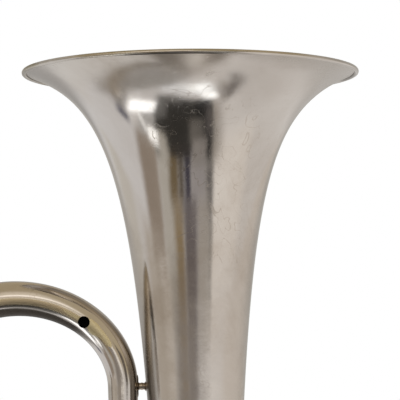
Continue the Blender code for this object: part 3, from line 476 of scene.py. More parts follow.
# %% Scratches and marks
THREAD_GRAIN, THREAD_WARP, THREAD_WIDTH = 44, 1.6, (0.004, 0.012)  # widths are in values of the noise
FEW_GRAIN, FEW_CLOUDS, FEW_SHARE = 15, (0.50, 0.64), 0.8  # where thin lines show on plate that isn't scored
WIPED_UP, WIPED_UP_VALUES = (900, 900, 34), (0.60, 0.80)  # streaks that run upwards,
WIPED_ROUND, WIPED_ROUND_VALUES = (60, 60, 1300), (0.62, 0.80)  # and streaks that run level
# Noise that makes the edge of bare metal ragged, and noise that leaves plate standing in stretches.
RAGGED_GRAIN, RAGGED_VALUES, RAGGED_BY, RAGGED_EDGE = 130, (0.3, 0.7), (-0.3, 0.3), (0.44, 0.56)
WORN_GRAIN, WORN_VALUES = 26, (0.35, 0.6)


def marked(tree, name):
    """The share that is written on the piece's points, or zero where the piece has no such mark."""
    return add_node(tree, "Attribute", attribute_name=name).outputs["Fac"]


def hairlines(tree, place):
    """Thin lines where a warped noise passes a half: a few everywhere, and many where the piece is scored."""
    warped = noise(tree, place, THREAD_GRAIN, detail=1, distortion=THREAD_WARP)
    away = maths(tree, "ABSOLUTE", maths(tree, "SUBTRACT", warped, 0.5))
    few = ranged(tree, noise(tree, place, FEW_GRAIN), FEW_CLOUDS, (0, FEW_SHARE))
    shown = maths(tree, "MAXIMUM", marked(tree, "scored"), few)
    return maths(tree, "MULTIPLY", ranged(tree, away, THREAD_WIDTH, (1, 0)), shown)


def wiping(tree, place):
    """The sum of two sets of streaks: noise drawn out upwards, and noise drawn out level."""
    upwards = noise(tree, stretched(tree, place, WIPED_UP), 1, detail=2)
    level = noise(tree, stretched(tree, place, WIPED_ROUND), 1, detail=2)
    return maths(tree, "ADD", ranged(tree, upwards, WIPED_UP_VALUES), ranged(tree, level, WIPED_ROUND_VALUES))


def worn_through(name):
    """Bare where a mark on the piece's own points, made ragged by noise, passes a half."""

    def share(tree, place):
        ragged = ranged(tree, noise(tree, place, RAGGED_GRAIN, detail=5), RAGGED_VALUES, RAGGED_BY)
        return ranged(tree, maths(tree, "ADD", marked(tree, name), ragged), RAGGED_EDGE)

    return share


def along_top(level, depth):
    """Bare along the top of a piece, from a level down to depth under it, in worn stretches."""

    def share(tree, place):
        height = add_node(tree, "SeparateXYZ", {"Vector": place}).outputs["Z"]
        worn = ranged(tree, noise(tree, place, WORN_GRAIN, detail=4), WORN_VALUES)
        return maths(tree, "MULTIPLY", ranged(tree, height, (level - depth, level)), worn)

    return share


print("patterns ready")


# %% [markdown]
# ## Silver plate
# Silver plate is a mirror that has dulled: it keeps clear reflections, but brown clouds, scratches and
# shallow dents break them up. The finish is built up in layers. Each layer covers a share of the surface,
# tints it and takes some of its gloss, and the last one covers all the others. Where the plate has been
# rubbed through, the yellow brass under it shows.

# %% Silver plate
SILVER_LIGHT = (0.580, 0.540, 0.495, 1)
SILVER_WARM = (0.520, 0.475, 0.425, 1)
TARNISH = (0.300, 0.235, 0.165, 1)
BARE_BRASS = (0.600, 0.520, 0.330, 1)
# Yellow of the top bow's band: tarnish with a painted reflection on it.
YELLOW_TARNISH_AND_REFLECTION = (0.74, 0.60, 0.36, 1)
# Near black: painted shade in the seam under the rim's wire and a painted dark reflection along the top bow,
# with some grime.
GRIME_AND_PAINTED_DARK = (0.060, 0.050, 0.040, 1)
CLOUD_GRAIN, SPECK_GRAIN, DENT_GRAIN, HAMMER_GRAIN = 11, 170, 34, 230
# Values of clouds and specks between which the tone, the browning and the roughness change.
TONE_CLOUDS, BROWN_CLOUDS, BROWN_SPECKS = (0.36, 0.66), (0.50, 0.78), (0.3, 0.7)
DULL_CLOUDS, CLOUD_ROUGHNESS = (0.3, 0.75), (0.07, 0.13)
DULL_SPECKS, SPECK_ROUGHNESS = (0.4, 0.8), (0.0, 0.04)
SPECK_SHARE = (0.5, 1)  # of a brown cloud that shows between and on its specks
DENT_BUMP, HAMMER_BUMP, SCRATCH_BUMP = (0.06, 0.004), (0.04, 0.0006), (0.10, 0.00004)  # strength and depth


def silver_plate(name, tarnish=0.35, rubbed=None, under=BARE_BRASS, tones=(SILVER_LIGHT, SILVER_WARM)):
    """Plate that has browned by the share tarnish, and shows the metal under it where rubbed says."""
    finish, tree, shader, place = new_finish(name, Metallic=1.0)
    clouds = noise(tree, place, CLOUD_GRAIN, detail=5, roughness=0.62, distortion=0.4)
    specks = noise(tree, place, SPECK_GRAIN, detail=3, roughness=0.7)
    scratches = wiping(tree, place)
    brown_specks = ranged(tree, specks, BROWN_SPECKS, SPECK_SHARE)
    browned = maths(tree, "MULTIPLY", ranged(tree, clouds, BROWN_CLOUDS), brown_specks)
    # A layer is the share that it covers, its tint, how strongly it tints and how much roughness it adds.
    layers = [
        (browned, TARNISH, tarnish, 0),
        (scratches, TARNISH, 0, 0.08),
        (hairlines(tree, place), TARNISH, 0.22, 0.15),
        (marked(tree, "dulled"), TARNISH, 0, 0.10),
        # The top bow's yellow band: tarnish with a painted reflection on it.
        (marked(tree, "yellow_tarnish_and_reflection"), YELLOW_TARNISH_AND_REFLECTION, 1, 0.30),
    ]
    if rubbed:
        layers.append((rubbed(tree, place), under, 1, 0.28))
    # Last layer: painted shade and a painted dark reflection, with some grime.
    layers.append((marked(tree, "grime_and_painted_dark"), GRIME_AND_PAINTED_DARK, 1, 0.4))
    colour = mixed(tree, ranged(tree, clouds, TONE_CLOUDS), *tones)
    cloudy = ranged(tree, clouds, DULL_CLOUDS, CLOUD_ROUGHNESS)
    dull = maths(tree, "ADD", cloudy, ranged(tree, specks, DULL_SPECKS, SPECK_ROUGHNESS))
    for share, tint, strength, dulling in layers:
        colour = mixed(tree, maths(tree, "MULTIPLY", share, strength), colour, tint)
        dull = maths(tree, "ADD", dull, maths(tree, "MULTIPLY", share, dulling))
    dents = bumped(tree, noise(tree, place, DENT_GRAIN, detail=1), *DENT_BUMP)
    hammered = bumped(tree, noise(tree, place, HAMMER_GRAIN, detail=2), *HAMMER_BUMP, dents)
    feed(tree, shader.inputs["Base Color"], colour)
    feed(tree, shader.inputs["Roughness"], dull)
    feed(tree, shader.inputs["Normal"], bumped(tree, scratches, *SCRATCH_BUMP, hammered))
    return finish


silver = silver_plate("silver_plate")
print("silver plate has", len(silver.node_tree.nodes), "nodes")


# %% [markdown]
# ## Brass, steel, felt, cork and shell
# The slides are bare brass, because plate would wear off where they rub. Springs are steel, the buttons
# land on felt, the drain is closed by cork and the fingers rest on discs of shell. These are small, so
# two tones, a grain and a roughness are enough for each, and one function makes them all.

# %% Brass, steel, felt, cork and shell
BRASS_LIGHT = (0.560, 0.420, 0.200, 1)
BRASS_DARK = (0.330, 0.220, 0.095, 1)
GRAINS_A_CLOUD = 8
GLOSS_SPREAD = 0.08  # how far the roughness strays to both sides
GRAIN_VALUES, TONE_VALUES = (0.3, 0.7), (0.75, 1.25)  # of one noise, and of the sum of two
GRAIN_BUMP = 0.5


def plain_finish(name, light, dark, dull, grain=400, depth=0.0001, **constants):
    """Two tones mixed by noise, with a roughness about dull and a bump of the same grain."""
    finish, tree, shader, place = new_finish(name, **constants)
    clouds = noise(tree, place, grain / GRAINS_A_CLOUD, detail=5)
    grains = noise(tree, place, grain, detail=3)
    share = ranged(tree, maths(tree, "ADD", clouds, grains), TONE_VALUES)
    roughness = (dull - GLOSS_SPREAD, min(1, dull + GLOSS_SPREAD))
    feed(tree, shader.inputs["Base Color"], mixed(tree, share, light, dark))
    feed(tree, shader.inputs["Roughness"], ranged(tree, grains, GRAIN_VALUES, roughness))
    feed(tree, shader.inputs["Normal"], bumped(tree, grains, GRAIN_BUMP, depth))
    return finish


brass = plain_finish("worn_brass", BRASS_LIGHT, BRASS_DARK, 0.26, grain=120, depth=0.00003, Metallic=1.0)
steel = plain_finish("spring_steel", (0.42, 0.42, 0.44, 1), (0.28, 0.27, 0.27, 1), 0.30, Metallic=1.0)
felt = plain_finish("felt", (0.22, 0.035, 0.045, 1), (0.14, 0.02, 0.03, 1), 0.92, grain=1800, depth=0.0003)
cork = plain_finish("cork", (0.52, 0.33, 0.18, 1), (0.30, 0.17, 0.08, 1), 0.86, grain=900, depth=0.0002)
# Near black: painted shade inside the top bow, with some tarnish.
bore_shade = plain_finish("bore_shade", (0.020, 0.018, 0.016, 1), (0.010, 0.009, 0.008, 1), 0.80)
pearl = plain_finish("pearl", (0.78, 0.77, 0.74, 1), (0.64, 0.69, 0.71, 1), 0.18, grain=300, depth=0.00001)
print("plain finishes:", *(finish.name for finish in (brass, steel, felt, cork, bore_shade, pearl)))


# %% [markdown]
# ## The bell's outline
# A bell starts as sheet brass that is beaten and spun over a steel form. Its outline could be a curve
# through measured points, but a rule keeps it fair: the radius is the rim's radius times a power of the
# depth. An old bell has been set down on its mouth many times, and this one has sunk a little on one side.

# %% Flare rule
FLARE_LENGTH = 0.0252  # depth over which the flare opens most
FLARE_EXPONENT = 0.503
LEAN = 0.0016  # how far the mouth of the old bell has sunk on its right, and risen on its left
LEAN_FROM, LEAN_TO = 0.050, 0.105  # distances from the axis between which the lean sets in
RIM_CIRCLE = RIM_RADIUS - WIRE_RADIUS
WIRE_Z = RIM_TOP - WIRE_RADIUS
BELL_FOOT = np.array([BELL_X, 0, 0])


def bell_radius(z):
    """Rim circle x (1 + depth / flare length) to the power of minus the exponent."""
    return RIM_CIRCLE * (1 + (WIRE_Z - z) / FLARE_LENGTH) ** -FLARE_EXPONENT


def leaned(shell):
    """Height less lean x step(reach) x cos(angle from +X), which tilts the mouth and not the throat."""
    arm = (shell - BELL_FOOT) * (1, 1, 0)
    reach = np.linalg.norm(arm, axis=-1)
    return shell - (LEAN * step(reach, LEAN_FROM, LEAN_TO) * arm[..., 0] / reach)[..., None] * AXIS_Z


def polar(shell):
    """Distance from the bell's axis, and degrees from the front towards +X."""
    arm = shell - BELL_FOOT
    return np.hypot(arm[..., 0], arm[..., 1]), np.degrees(np.arctan2(arm[..., 0], -arm[..., 1]))


print("bell is", round(2 * bell_radius(RIM_TOP - 0.1), 4), "wide 0.1 under its rim")


# %% [markdown]
# ## Bell and rim wire
# The rows of the grid crowd towards the rim, where the flare turns fastest. The sheet is a millimetre
# thick, so the inside is worked out too, square to the outside. The rim is rolled over a wire, which
# stands proud as a bead and has lost its plating along the top.

# %% Bell and rim wire
OLD_BRASS = (0.330, 0.290, 0.190, 1)
TAIL_STRAIGHT = 0.006  # plain end of the bell above its ferrule
BELL_ROWS = 150
BELL_SIDES = 256
BOTTOM_JOINT_Z = middle("bell_tail_ferrule")[2]
TAIL_Z = corners("bell_tail_ferrule")[1][2] + TAIL_STRAIGHT
EDGE_RADIUS = RIM_CIRCLE - WIRE_RADIUS + FIT  # where the sheet meets the wire


def round_wire(reach, height, radius, count=28):
    """Profile of a wire that is bent into a ring: a circle of points about (reach, height)."""
    turn = np.linspace(0, 2 * np.pi, count, endpoint=False)
    return np.column_stack([reach + radius * np.cos(turn), height + radius * np.sin(turn)])


shallow = (EDGE_RADIUS / RIM_CIRCLE) ** (-1 / FLARE_EXPONENT)
deep = 1 + (WIRE_Z - TAIL_Z) / FLARE_LENGTH
depth = FLARE_LENGTH * (np.geomspace(shallow, deep, BELL_ROWS) - 1)
flare = bell_radius(WIRE_Z - depth)
slope = FLARE_EXPONENT * flare / (depth + FLARE_LENGTH)
bore = flare - SHEET * np.hypot(1, slope)
TAIL_RADIUS = flare[-1]
tail = [(TAIL_RADIUS, BOTTOM_JOINT_Z + FIT), (TAIL_RADIUS - SHEET, BOTTOM_JOINT_Z + FIT)]
outside, inside = (np.column_stack([radius, WIRE_Z - depth]) for radius in (flare, bore))
sheet = turned(np.concatenate([outside, tail, inside[::-1]]), BELL_FOOT, sides=BELL_SIDES)
bell = smooth("bell", [leaned(sheet)], silver)
rim_silver = silver_plate("rim_silver", rubbed=along_top(RIM_TOP, 2 * WIRE_RADIUS), under=OLD_BRASS)
rim_ring = turned(round_wire(RIM_CIRCLE, WIRE_Z, WIRE_RADIUS), BELL_FOOT, sides=BELL_SIDES)
rim = smooth("bell_rim_wire", [leaned(rim_ring)], rim_silver)
print("bell has", len(bell.data.polygons), "faces")


# %% [markdown]
# ## Wear and painted shade on the bell
# Hands and cloths reach some places and not others. The flare has lost its gloss and the front is scored by
# fine lines. The bell is darker beside the bow, and shade is painted into the seam along the rim's wire.
# Each mark is a product of two soft bands, one round the bell and one down it.

# %% Wear and painted shade on the bell
DULL_FROM, DULL_TO = 0.080, 0.112  # distances from the axis between which the flare loses its gloss
# Degrees from the front, metres under the rim, and how soft the edges of both are.
SCORED_TURN, SCORED_DEPTH, SCORED_SOFT = (-14, 48), (0.030, 0.165), (6, 0.015)
# The bell darkens beside the bow: degrees, depths between which it darkens, soft edge and share.
BESIDE_BOW_TURN, BESIDE_BOW_DEPTH, BESIDE_BOW_SOFT, BESIDE_BOW_SHARE = (-100, -52), (0.150, 0.270), 9, 0.5
# Painted shade in the seam under the rim's wire: degrees from the front, and degrees round the wire from its
# outer side.
RIM_SEAM_SHADE = {
    "front": ((-22, 12), (250, 322)),
    "left": ((-127, -90), (150, 212)),
    "right": ((90, 123), (150, 212)),
}
RIM_SEAM_SHADE_SOFT = (5, 14)
EDGE_SHADE_SOFT, EDGE_SHADE_WIDTH = 4, 0.0020  # of the sheet beside the ends of the rim, which get painted shade too

reach, turn = polar(sheet)
under_rim = WIRE_Z - sheet[..., 2]
mark(bell, "dulled", step(reach, DULL_FROM, DULL_TO))
scored = within(turn, SCORED_TURN, SCORED_SOFT[0]) * within(under_rim, SCORED_DEPTH, SCORED_SOFT[1])
mark(bell, "scored", scored)
# Painted shade on the sheet's edge at both ends of the rim.
shaded_ends = sum(within(turn, RIM_SEAM_SHADE[end][0], EDGE_SHADE_SOFT) for end in ("left", "right"))
shaded_edge = shaded_ends * step(reach, EDGE_RADIUS - EDGE_SHADE_WIDTH, EDGE_RADIUS)
# The bell is darker beside the bow.
beside_bow = within(turn, BESIDE_BOW_TURN, BESIDE_BOW_SOFT) * step(under_rim, *BESIDE_BOW_DEPTH)
mark(bell, "grime_and_painted_dark", shaded_edge + BESIDE_BOW_SHARE * beside_bow)
rim_reach, rim_turn = polar(rim_ring)
wire_turn = np.degrees(np.arctan2(rim_ring[..., 2] - WIRE_Z, rim_reach - RIM_CIRCLE)) % 360
# Painted shade on the wire where it meets the sheet.
seam_shade = [
    within(rim_turn, along, RIM_SEAM_SHADE_SOFT[0]) * within(wire_turn, about, RIM_SEAM_SHADE_SOFT[1])
    for along, about in RIM_SEAM_SHADE.values()
]
mark(rim, "grime_and_painted_dark", sum(seam_shade))
print("share of the bell that is scored:", round(float(scored.mean()), 3))


# %% [markdown]
# ## Bends, drilled holes and dark bores
# Two bows and two straight branches carry the air between the valves and the bell. Bows are bent from
# straight tube filled with pitch, so their section stays round. A hole in a tube is drilled: a Boolean
# cuts it, and the result is kept as plain mesh. Through a hole one looks into the bore, so the faces of
# the bore get a near-black finish: painted shade inside the tube, with some tarnish.

# %% Bends, drilled holes and dark bores
BOW_STUB = 0.020  # straight end of a bow, half of it inside a collar
LOOKS_INWARD = 0.6  # cosine past which a face counts as looking at the middle of its tube
BATCHES = 40  # so that the table of distances stays small


def bow_path(first_x, last_x, joint_z, way, rise):
    """A straight stub, half an ellipse that bulges by rise along way, and a stub back to the joint."""
    centre = np.array([(first_x + last_x) / 2, 0, joint_z + way * (BOW_STUB + FIT)])
    side, stub = AXIS_X * (first_x - last_x) / 2, -way * AXIS_Z * BOW_STUB
    half = arc(centre, side, way * AXIS_Z * rise, np.pi, 160)
    return joined(line(centre + side + stub, centre + side), half, line(centre - side, centre - side + stub))


def drill(start, way, radius, length, sides=64):
    """A plain round bar to cut with."""
    return turned([(0, 0), (radius, 0), (radius, length), (0, length)], start, way, sides)


def cut(piece, bars):
    """Cuts bars out of a piece with a Boolean, and keeps the result as plain mesh."""
    cutter = bpy.data.objects.new("cutter", mesh_of("cutter", bars))
    bpy.context.scene.collection.objects.link(cutter)
    piece.modifiers.new("cut", "BOOLEAN").object = cutter
    graph = bpy.context.evaluated_depsgraph_get()
    result = bpy.data.meshes.new_from_object(piece.evaluated_get(graph))
    piece.modifiers.clear()
    piece.data = result
    result.set_sharp_from_angle(angle=SHARP_ANGLE)
    bpy.data.objects.remove(cutter)


def shade_inside(piece, path):
    """Gives the painted shade to the faces that look towards the path, which are those of the bore."""
    mesh = piece.data
    mesh.materials.append(bore_shade)
    spots, ways = np.zeros((2, 3 * len(mesh.polygons)))
    mesh.polygons.foreach_get("center", spots)
    mesh.polygons.foreach_get("normal", ways)
    spots, ways = spots.reshape(-1, 3), ways.reshape(-1, 3)
    nearest = np.concatenate([
        path[np.linalg.norm(some[:, None] - path[None], axis=-1).argmin(axis=1)]
        for some in np.array_split(spots, BATCHES)
    ])
    inward = np.sum(unit(nearest - spots) * ways, axis=1) > LOOKS_INWARD
    mesh.polygons.foreach_set("material_index", inward.astype(np.int32))


print("bows end in stubs of", BOW_STUB)


# %% [markdown]
# ## Bottom bow and branches
# Each tube is a circle carried along a path, and its radius changes evenly with the distance, because the
# bore of such a horn widens all the way to the bell.

# %% Bottom bow and branches
FOOT_RADIUS = 0.0230  # outer branch at its foot
ENTRY_RADIUS = 0.0168  # top bow at the outer branch
EXIT_RADIUS = 0.0121  # top bow at the inner branch
OUTER_X = middle("outer_branch")[0]
INNER_X = middle("inner_branch")[0]
TOP_JOINT_Z = middle("top_bow_inner_ferrule")[2]
TUNING_TOP_Z = corners("inner_branch")[0][2]
SLEEVE_END_RADIUS = half_size("tuning_sleeve_rear")[0]
# Bell and outer branch stand equally far from the middle, so the bottom bow is half a circle.
low_path = bow_path(BELL_X, OUTER_X, BOTTOM_JOINT_Z - 2 * FIT, -1, BELL_X)
smooth("bottom_bow", [tube(low_path, TAIL_RADIUS, FOOT_RADIUS, SHEET, AXIS_Y, sides=96)], silver)
outer_line = line((OUTER_X, 0, BOTTOM_JOINT_Z + FIT), (OUTER_X, 0, TOP_JOINT_Z - FIT))
smooth("outer_branch", [tube(outer_line, FOOT_RADIUS, ENTRY_RADIUS, SHEET, AXIS_Y, sides=80)], silver)
inner_line = line((INNER_X, 0, TOP_JOINT_Z - FIT), (INNER_X, 0, TUNING_TOP_Z))
smooth("inner_branch", [tube(inner_line, EXIT_RADIUS, SLEEVE_END_RADIUS, SHEET, AXIS_Y, sides=64)], silver)
print("bottom bow is", round(float(distances(low_path)[-1]), 3), "long")


# %% [markdown]
# ## Top bow
# The top bow has an open hole in its front wall. Beside the hole the plate has been rubbed down to the brass.
# A yellow band runs along the front: tarnish with a painted reflection on it. A dark line along the inner
# side of the bend is a painted reflection with some dirt. These marks follow the bend, so they are measured
# round its ellipse: the turn from the crown, and the distance from the middle of the tube.

# %% Top bow
TOP_BOW_RISE = 0.0746  # from the top bow's centre to the middle of its tube at the crown
TOP_BOW_RADIUS = (INNER_X - OUTER_X) / 2
BOW_CENTRE = np.array([(OUTER_X + INNER_X) / 2, 0, TOP_JOINT_Z + BOW_STUB + FIT])
HOLE_RADIUS = 0.0049
HOLE_ANGLE = math.radians(42)  # from the bow's crown towards the bell
HOLE_INSET = 0.0028  # from the middle of the tube towards the bow's centre
BARE_TURN = (24, 32, 40, 44, 48, 51, 54, 62, 66)  # bare brass beside the hole: degrees from the crown,
BARE_INNER = (-1.5, -4.4, -4.4, -3.0, -6.2, -6.6, -4.0, -2.4, 1.0)  # and millimetres from the middle,
BARE_OUTER = (-2.5, -1.6, -0.6, 3.2, 3.5, 2.7, 2.5, 1.8, -1.0)  # where it starts and ends
BARE_EDGE = 0.0012
# The yellow band, tarnish with a painted reflection on it: distances from the middle, degrees from the crown,
# soft edges of both, and its share.
YELLOW_BAND, YELLOW_TURN, YELLOW_SOFT, YELLOW_SHARE = (-0.0064, -0.0004), (-62, 42), (0.0008, 10), 0.8
# The dark line along the inner side, a painted reflection with some dirt: distances to the inner side between
# which it sets in, degrees, their soft edge, and its share.
DARK_LINE_FROM, DARK_LINE_TURN, DARK_LINE_SOFT, DARK_LINE_SHARE = (0.0088, 0.0098), (-62, 50), 12, 0.98

arm = math.sin(HOLE_ANGLE) * TOP_BOW_RADIUS * AXIS_X + math.cos(HOLE_ANGLE) * TOP_BOW_RISE * AXIS_Z
hole = BOW_CENTRE + arm - unit(arm) * HOLE_INSET
high_path = bow_path(OUTER_X, INNER_X, TOP_JOINT_Z, 1, TOP_BOW_RISE)
bow_silver = silver_plate("bow_silver", tarnish=0.5, rubbed=worn_through("bare"))
bent = tube(high_path, ENTRY_RADIUS, EXIT_RADIUS, SHEET, AXIS_Y, sides=96, spacing=0.0015)
top_bow = smooth("top_bow", [bent], bow_silver)
cut(top_bow, [drill(hole, -AXIS_Y, HOLE_RADIUS, 2 * ENTRY_RADIUS)])

arms = (spots_of(top_bow) - BOW_CENTRE) / (TOP_BOW_RADIUS, 1, TOP_BOW_RISE)
front = arms[:, 1] < 0
crown_turn = np.degrees(np.arctan2(arms[:, 0], arms[:, 2]))
off_middle = (np.hypot(arms[:, 0], arms[:, 2]) - 1) * (TOP_BOW_RISE + TOP_BOW_RADIUS) / 2
starts, stops = (np.interp(crown_turn, BARE_TURN, limits) / 1000 for limits in (BARE_INNER, BARE_OUTER))
bare = np.minimum(off_middle - starts, stops - off_middle) / BARE_EDGE + 0.5
mark(top_bow, "bare", np.clip(bare, 0, 1) * front)
yellow = within(off_middle, YELLOW_BAND, YELLOW_SOFT[0]) * within(crown_turn, YELLOW_TURN, YELLOW_SOFT[1])
# Tarnish with a painted reflection, in a yellow band along the front.
mark(top_bow, "yellow_tarnish_and_reflection", YELLOW_SHARE * yellow * front)
# Painted dark reflection along the inner side of the bend, with some dirt.
mark(top_bow, "grime_and_painted_dark", DARK_LINE_SHARE * step(-off_middle, *DARK_LINE_FROM) * within(crown_turn, DARK_LINE_TURN, DARK_LINE_SOFT))
shade_inside(top_bow, high_path)
print("top bow has", len(top_bow.data.polygons), "faces")


# %% [markdown]
# ## Collars and guard wire
# A short collar hides every joint of the main branch. It is turned with a bead at each end, where it would
# otherwise wear thin. The guard wire under the bottom bow takes the knocks when the horn is put down. It
# is a solid rod with rounded ends, carried along the bow's outer side.

# %% Collars and guard
FERRULE_WALL = 0.0012
BEAD = 0.0008
BEAD_LENGTH = 0.0030
COLLAR_TRIM = 0.0030  # how much shorter a collar is at each end than its solid
GUARD_TURN = math.radians(67.5)
GUARD_RADIUS = 0.0022
GUARD_SINK = 0.0005  # how much fatter the guard is drawn, so that it sits in the bow's solder


def ferrule(solid):
    """A collar over two tube ends, with a bead at either end."""
    outer, _, half = half_size(solid) - (0, 0, COLLAR_TRIM)
    inner, thick, inset = outer - FERRULE_WALL, outer + BEAD, half - BEAD_LENGTH
    side = [(thick, inset), (outer, inset - BEAD), (outer, BEAD - inset), (thick, -inset)]
    profile = eased([(inner, half), (thick, half), *side, (thick, -half), (inner, -half)], BEAD / 2)
    return smooth(solid, [turned(profile, middle(solid), sides=96)], silver)


def rod(path, radius, beside, sides=24, spacing=0.002):
    """A solid wire along a path, with a quarter circle at each end of its profile."""
    length = distances(path)[-1]
    turn = np.linspace(0, np.pi / 2, 6)
    start = np.column_stack([radius * (1 - np.cos(turn)), radius * np.sin(turn)])
    run = np.linspace(radius, length - radius, max(4, int(length / spacing)))[1:-1]
    end = np.column_stack([length - start[:, 0], start[:, 1]])[::-1]
    profile = np.concatenate([start, np.column_stack([run, np.full(len(run), radius)]), end])
    return carried(path, profile, beside, sides)


for solid in ("bell_tail_ferrule", "outer_branch_ferrule", "top_bow_outer_ferrule", "top_bow_inner_ferrule"):
    ferrule(solid)
guard_turn = np.linspace(-GUARD_TURN, GUARD_TURN, 120)
guard_wire = GUARD_RADIUS + GUARD_SINK
bow_side = BELL_X + TAIL_RADIUS + (0.5 - guard_turn / np.pi) * (FOOT_RADIUS - TAIL_RADIUS)
guard_reach = (bow_side + FIT + 2 * GUARD_RADIUS - guard_wire)[:, None]
guard_arm = np.sin(guard_turn)[:, None] * AXIS_X - np.cos(guard_turn)[:, None] * AXIS_Z
guard = np.array([0, 0, BOTTOM_JOINT_Z - BOW_STUB]) + guard_reach * guard_arm
smooth("bottom_bow_guard", [rod(guard, guard_wire, AXIS_Y)], silver)
print("guard is", round(float(distances(guard)[-1]), 3), "long")


# %% [markdown]
# ## A brace
# A brace is a turned post with a bead in the middle, and its feet are bent onto the tubes they are
# soldered to. A point of the foot that stands a distance a beside the tube's middle has to drop by
# R - sqrt(R^2 - a^2) to touch a tube of radius R. The upper brace also has an oval plate under its foot.

# %% Brace
BRACE_FOOT = 0.0042
BRACE_FOOT_HEIGHT = 0.0010
BRACE_POST = 0.0021
BRACE_BEAD = 0.0031
BRACE_BEAD_HEIGHT = 0.0016
BEND_HEIGHTS = 3  # foot heights over which the bend of a foot dies away
BEND_LIMIT = 0.95  # share of the tube's radius past which a foot isn't bent any further
# The oval plate: radius and height of its profile, and how far it is drawn out along the tube.
FOOT_PLATE = [(0, -0.0012), (0.0042, -0.0012), (0.0048, 0.0002), (0.0034, 0.0008), (0, 0.0008)]
FOOT_PLATE_EASE, FOOT_PLATE_STRETCH = 0.0004, 2


def bent_onto(shell, away, beside, reach, radius, gap, way):
    """Lowers the rows near a foot by gap + R - sqrt(R^2 - a^2), less and less over a few foot heights."""
    share = np.clip(1 - away / (BEND_HEIGHTS * BRACE_FOOT_HEIGHT), 0, 1)[:, None]
    aside = np.clip((shell - reach) @ beside, -BEND_LIMIT * radius, BEND_LIMIT * radius)
    drop = gap + radius - np.sqrt(radius**2 - aside**2)
    return shell + (share * drop)[..., None] * way


def brace(solid, axis, first, last, more=()):
    """Radius = post + a bell curve at each foot + one for the bead. Ends: the tube's line, radius and gap."""
    length = 2 * half_size(solid) @ axis
    start, height = middle(solid) - axis * length / 2, np.linspace(0, length, 61)
    flare = np.exp(-(np.minimum(height, length - height) / BRACE_FOOT_HEIGHT) ** 2)
    bead = np.exp(-(((height - length / 2) / BRACE_BEAD_HEIGHT) ** 2))
    radius = BRACE_POST + (BRACE_FOOT - BRACE_POST) * flare + (BRACE_BEAD - BRACE_POST) * bead
    profile = np.array([(0, 0), *zip(radius, height), (0, length)])
    shell = turned(profile, start, axis, sides=48)
    ends = (first, profile[:, 1], -axis), (last, length - profile[:, 1], axis)
    for (run, radius, gap), away, way in ends:
        shell = bent_onto(shell, away, np.cross(axis, run), start, radius, gap, way)
    return smooth(solid, [shell, *more], brace_silver)


def bell_tube(solid):
    """The bell as a brace meets it: upright, with its radius there and the gap that its slope leaves."""
    z = middle(solid)[2]
    return AXIS_Z, bell_radius(z), FIT + bell_radius(z + BRACE_FOOT) - bell_radius(z)


def foot_plate(spot, radius):
    """A disc that is drawn out along the tube and bent onto it, a little into its solder."""
    disc = turned(eased(FOOT_PLATE, FOOT_PLATE_EASE, ring=False), np.zeros(3), AXIS_X, sides=64)
    drop = radius - np.sqrt(radius**2 - disc[..., 1] ** 2)
    return spot + disc * (1, 1, FOOT_PLATE_STRETCH) - drop[..., None] * AXIS_X


print("brace posts are", 2 * BRACE_POST, "thick")


# %% [markdown]
# ## Six braces
# Braces keep the bell, the branches and the mouthpipe from working loose. They have gone brown, because they
# are hard to polish. Each is told the two tubes that it joins: the line of each, its radius at that place and
# the gap to close.

# %% Six braces
BROWN_LIGHT = (0.330, 0.275, 0.215, 1)
BROWN_DARK = (0.230, 0.180, 0.130, 1)
SLEEVE_RADIUS = 0.0092
# Radii of branches and mouthpipe where the braces meet them.
OUTER_BRANCH_THERE, INNER_BRANCH_THERE = 0.0208, 0.0115
MOUTHPIPE_AT_BELL, MOUTHPIPE_AT_REAR = 0.0066, 0.0074
brace_silver = silver_plate("brace_silver", tarnish=0.9, tones=(BROWN_LIGHT, BROWN_DARK))
plate_spot = middle("bell_brace_upper") * (0, 1, 1) + AXIS_X * (INNER_X + EXIT_RADIUS)
plate = foot_plate(plate_spot, EXIT_RADIUS)
sleeve_end = (AXIS_Z, SLEEVE_END_RADIUS, FIT)
brace("bell_brace_upper", AXIS_X, (AXIS_Z, EXIT_RADIUS, 2 * FIT), bell_tube("bell_brace_upper"), [plate])
brace("bell_brace_lower", AXIS_X, sleeve_end, bell_tube("bell_brace_lower"))
brace("tuning_slide_brace", AXIS_Y, sleeve_end, sleeve_end)
brace("outer_branch_brace", AXIS_Y, (AXIS_X, SLEEVE_RADIUS, FIT), (AXIS_Z, OUTER_BRANCH_THERE, FIT))
pipe_at_bell, pipe_at_rear = (AXIS_X, MOUTHPIPE_AT_BELL, 2 * FIT), (AXIS_X, MOUTHPIPE_AT_REAR, FIT)
brace("mouthpipe_bell_brace", AXIS_Y, pipe_at_bell, bell_tube("mouthpipe_bell_brace"))
brace("mouthpipe_rear_brace", AXIS_Y, (AXIS_Z, INNER_BRANCH_THERE, FIT), pipe_at_rear)
print("upper brace", round(plate_spot[2] - BOW_CENTRE[2], 4), "above the bow's centre")


# %% [markdown]
# ## Valve casings
# Each valve is a casing with a screwed cap at either end and a sprung piston inside. The casing is turned,
# with a ring under each cap. Tubes enter it at the heights where the piston has its passages, so it is
# drilled there, with the Boolean that made the hole in the bow.

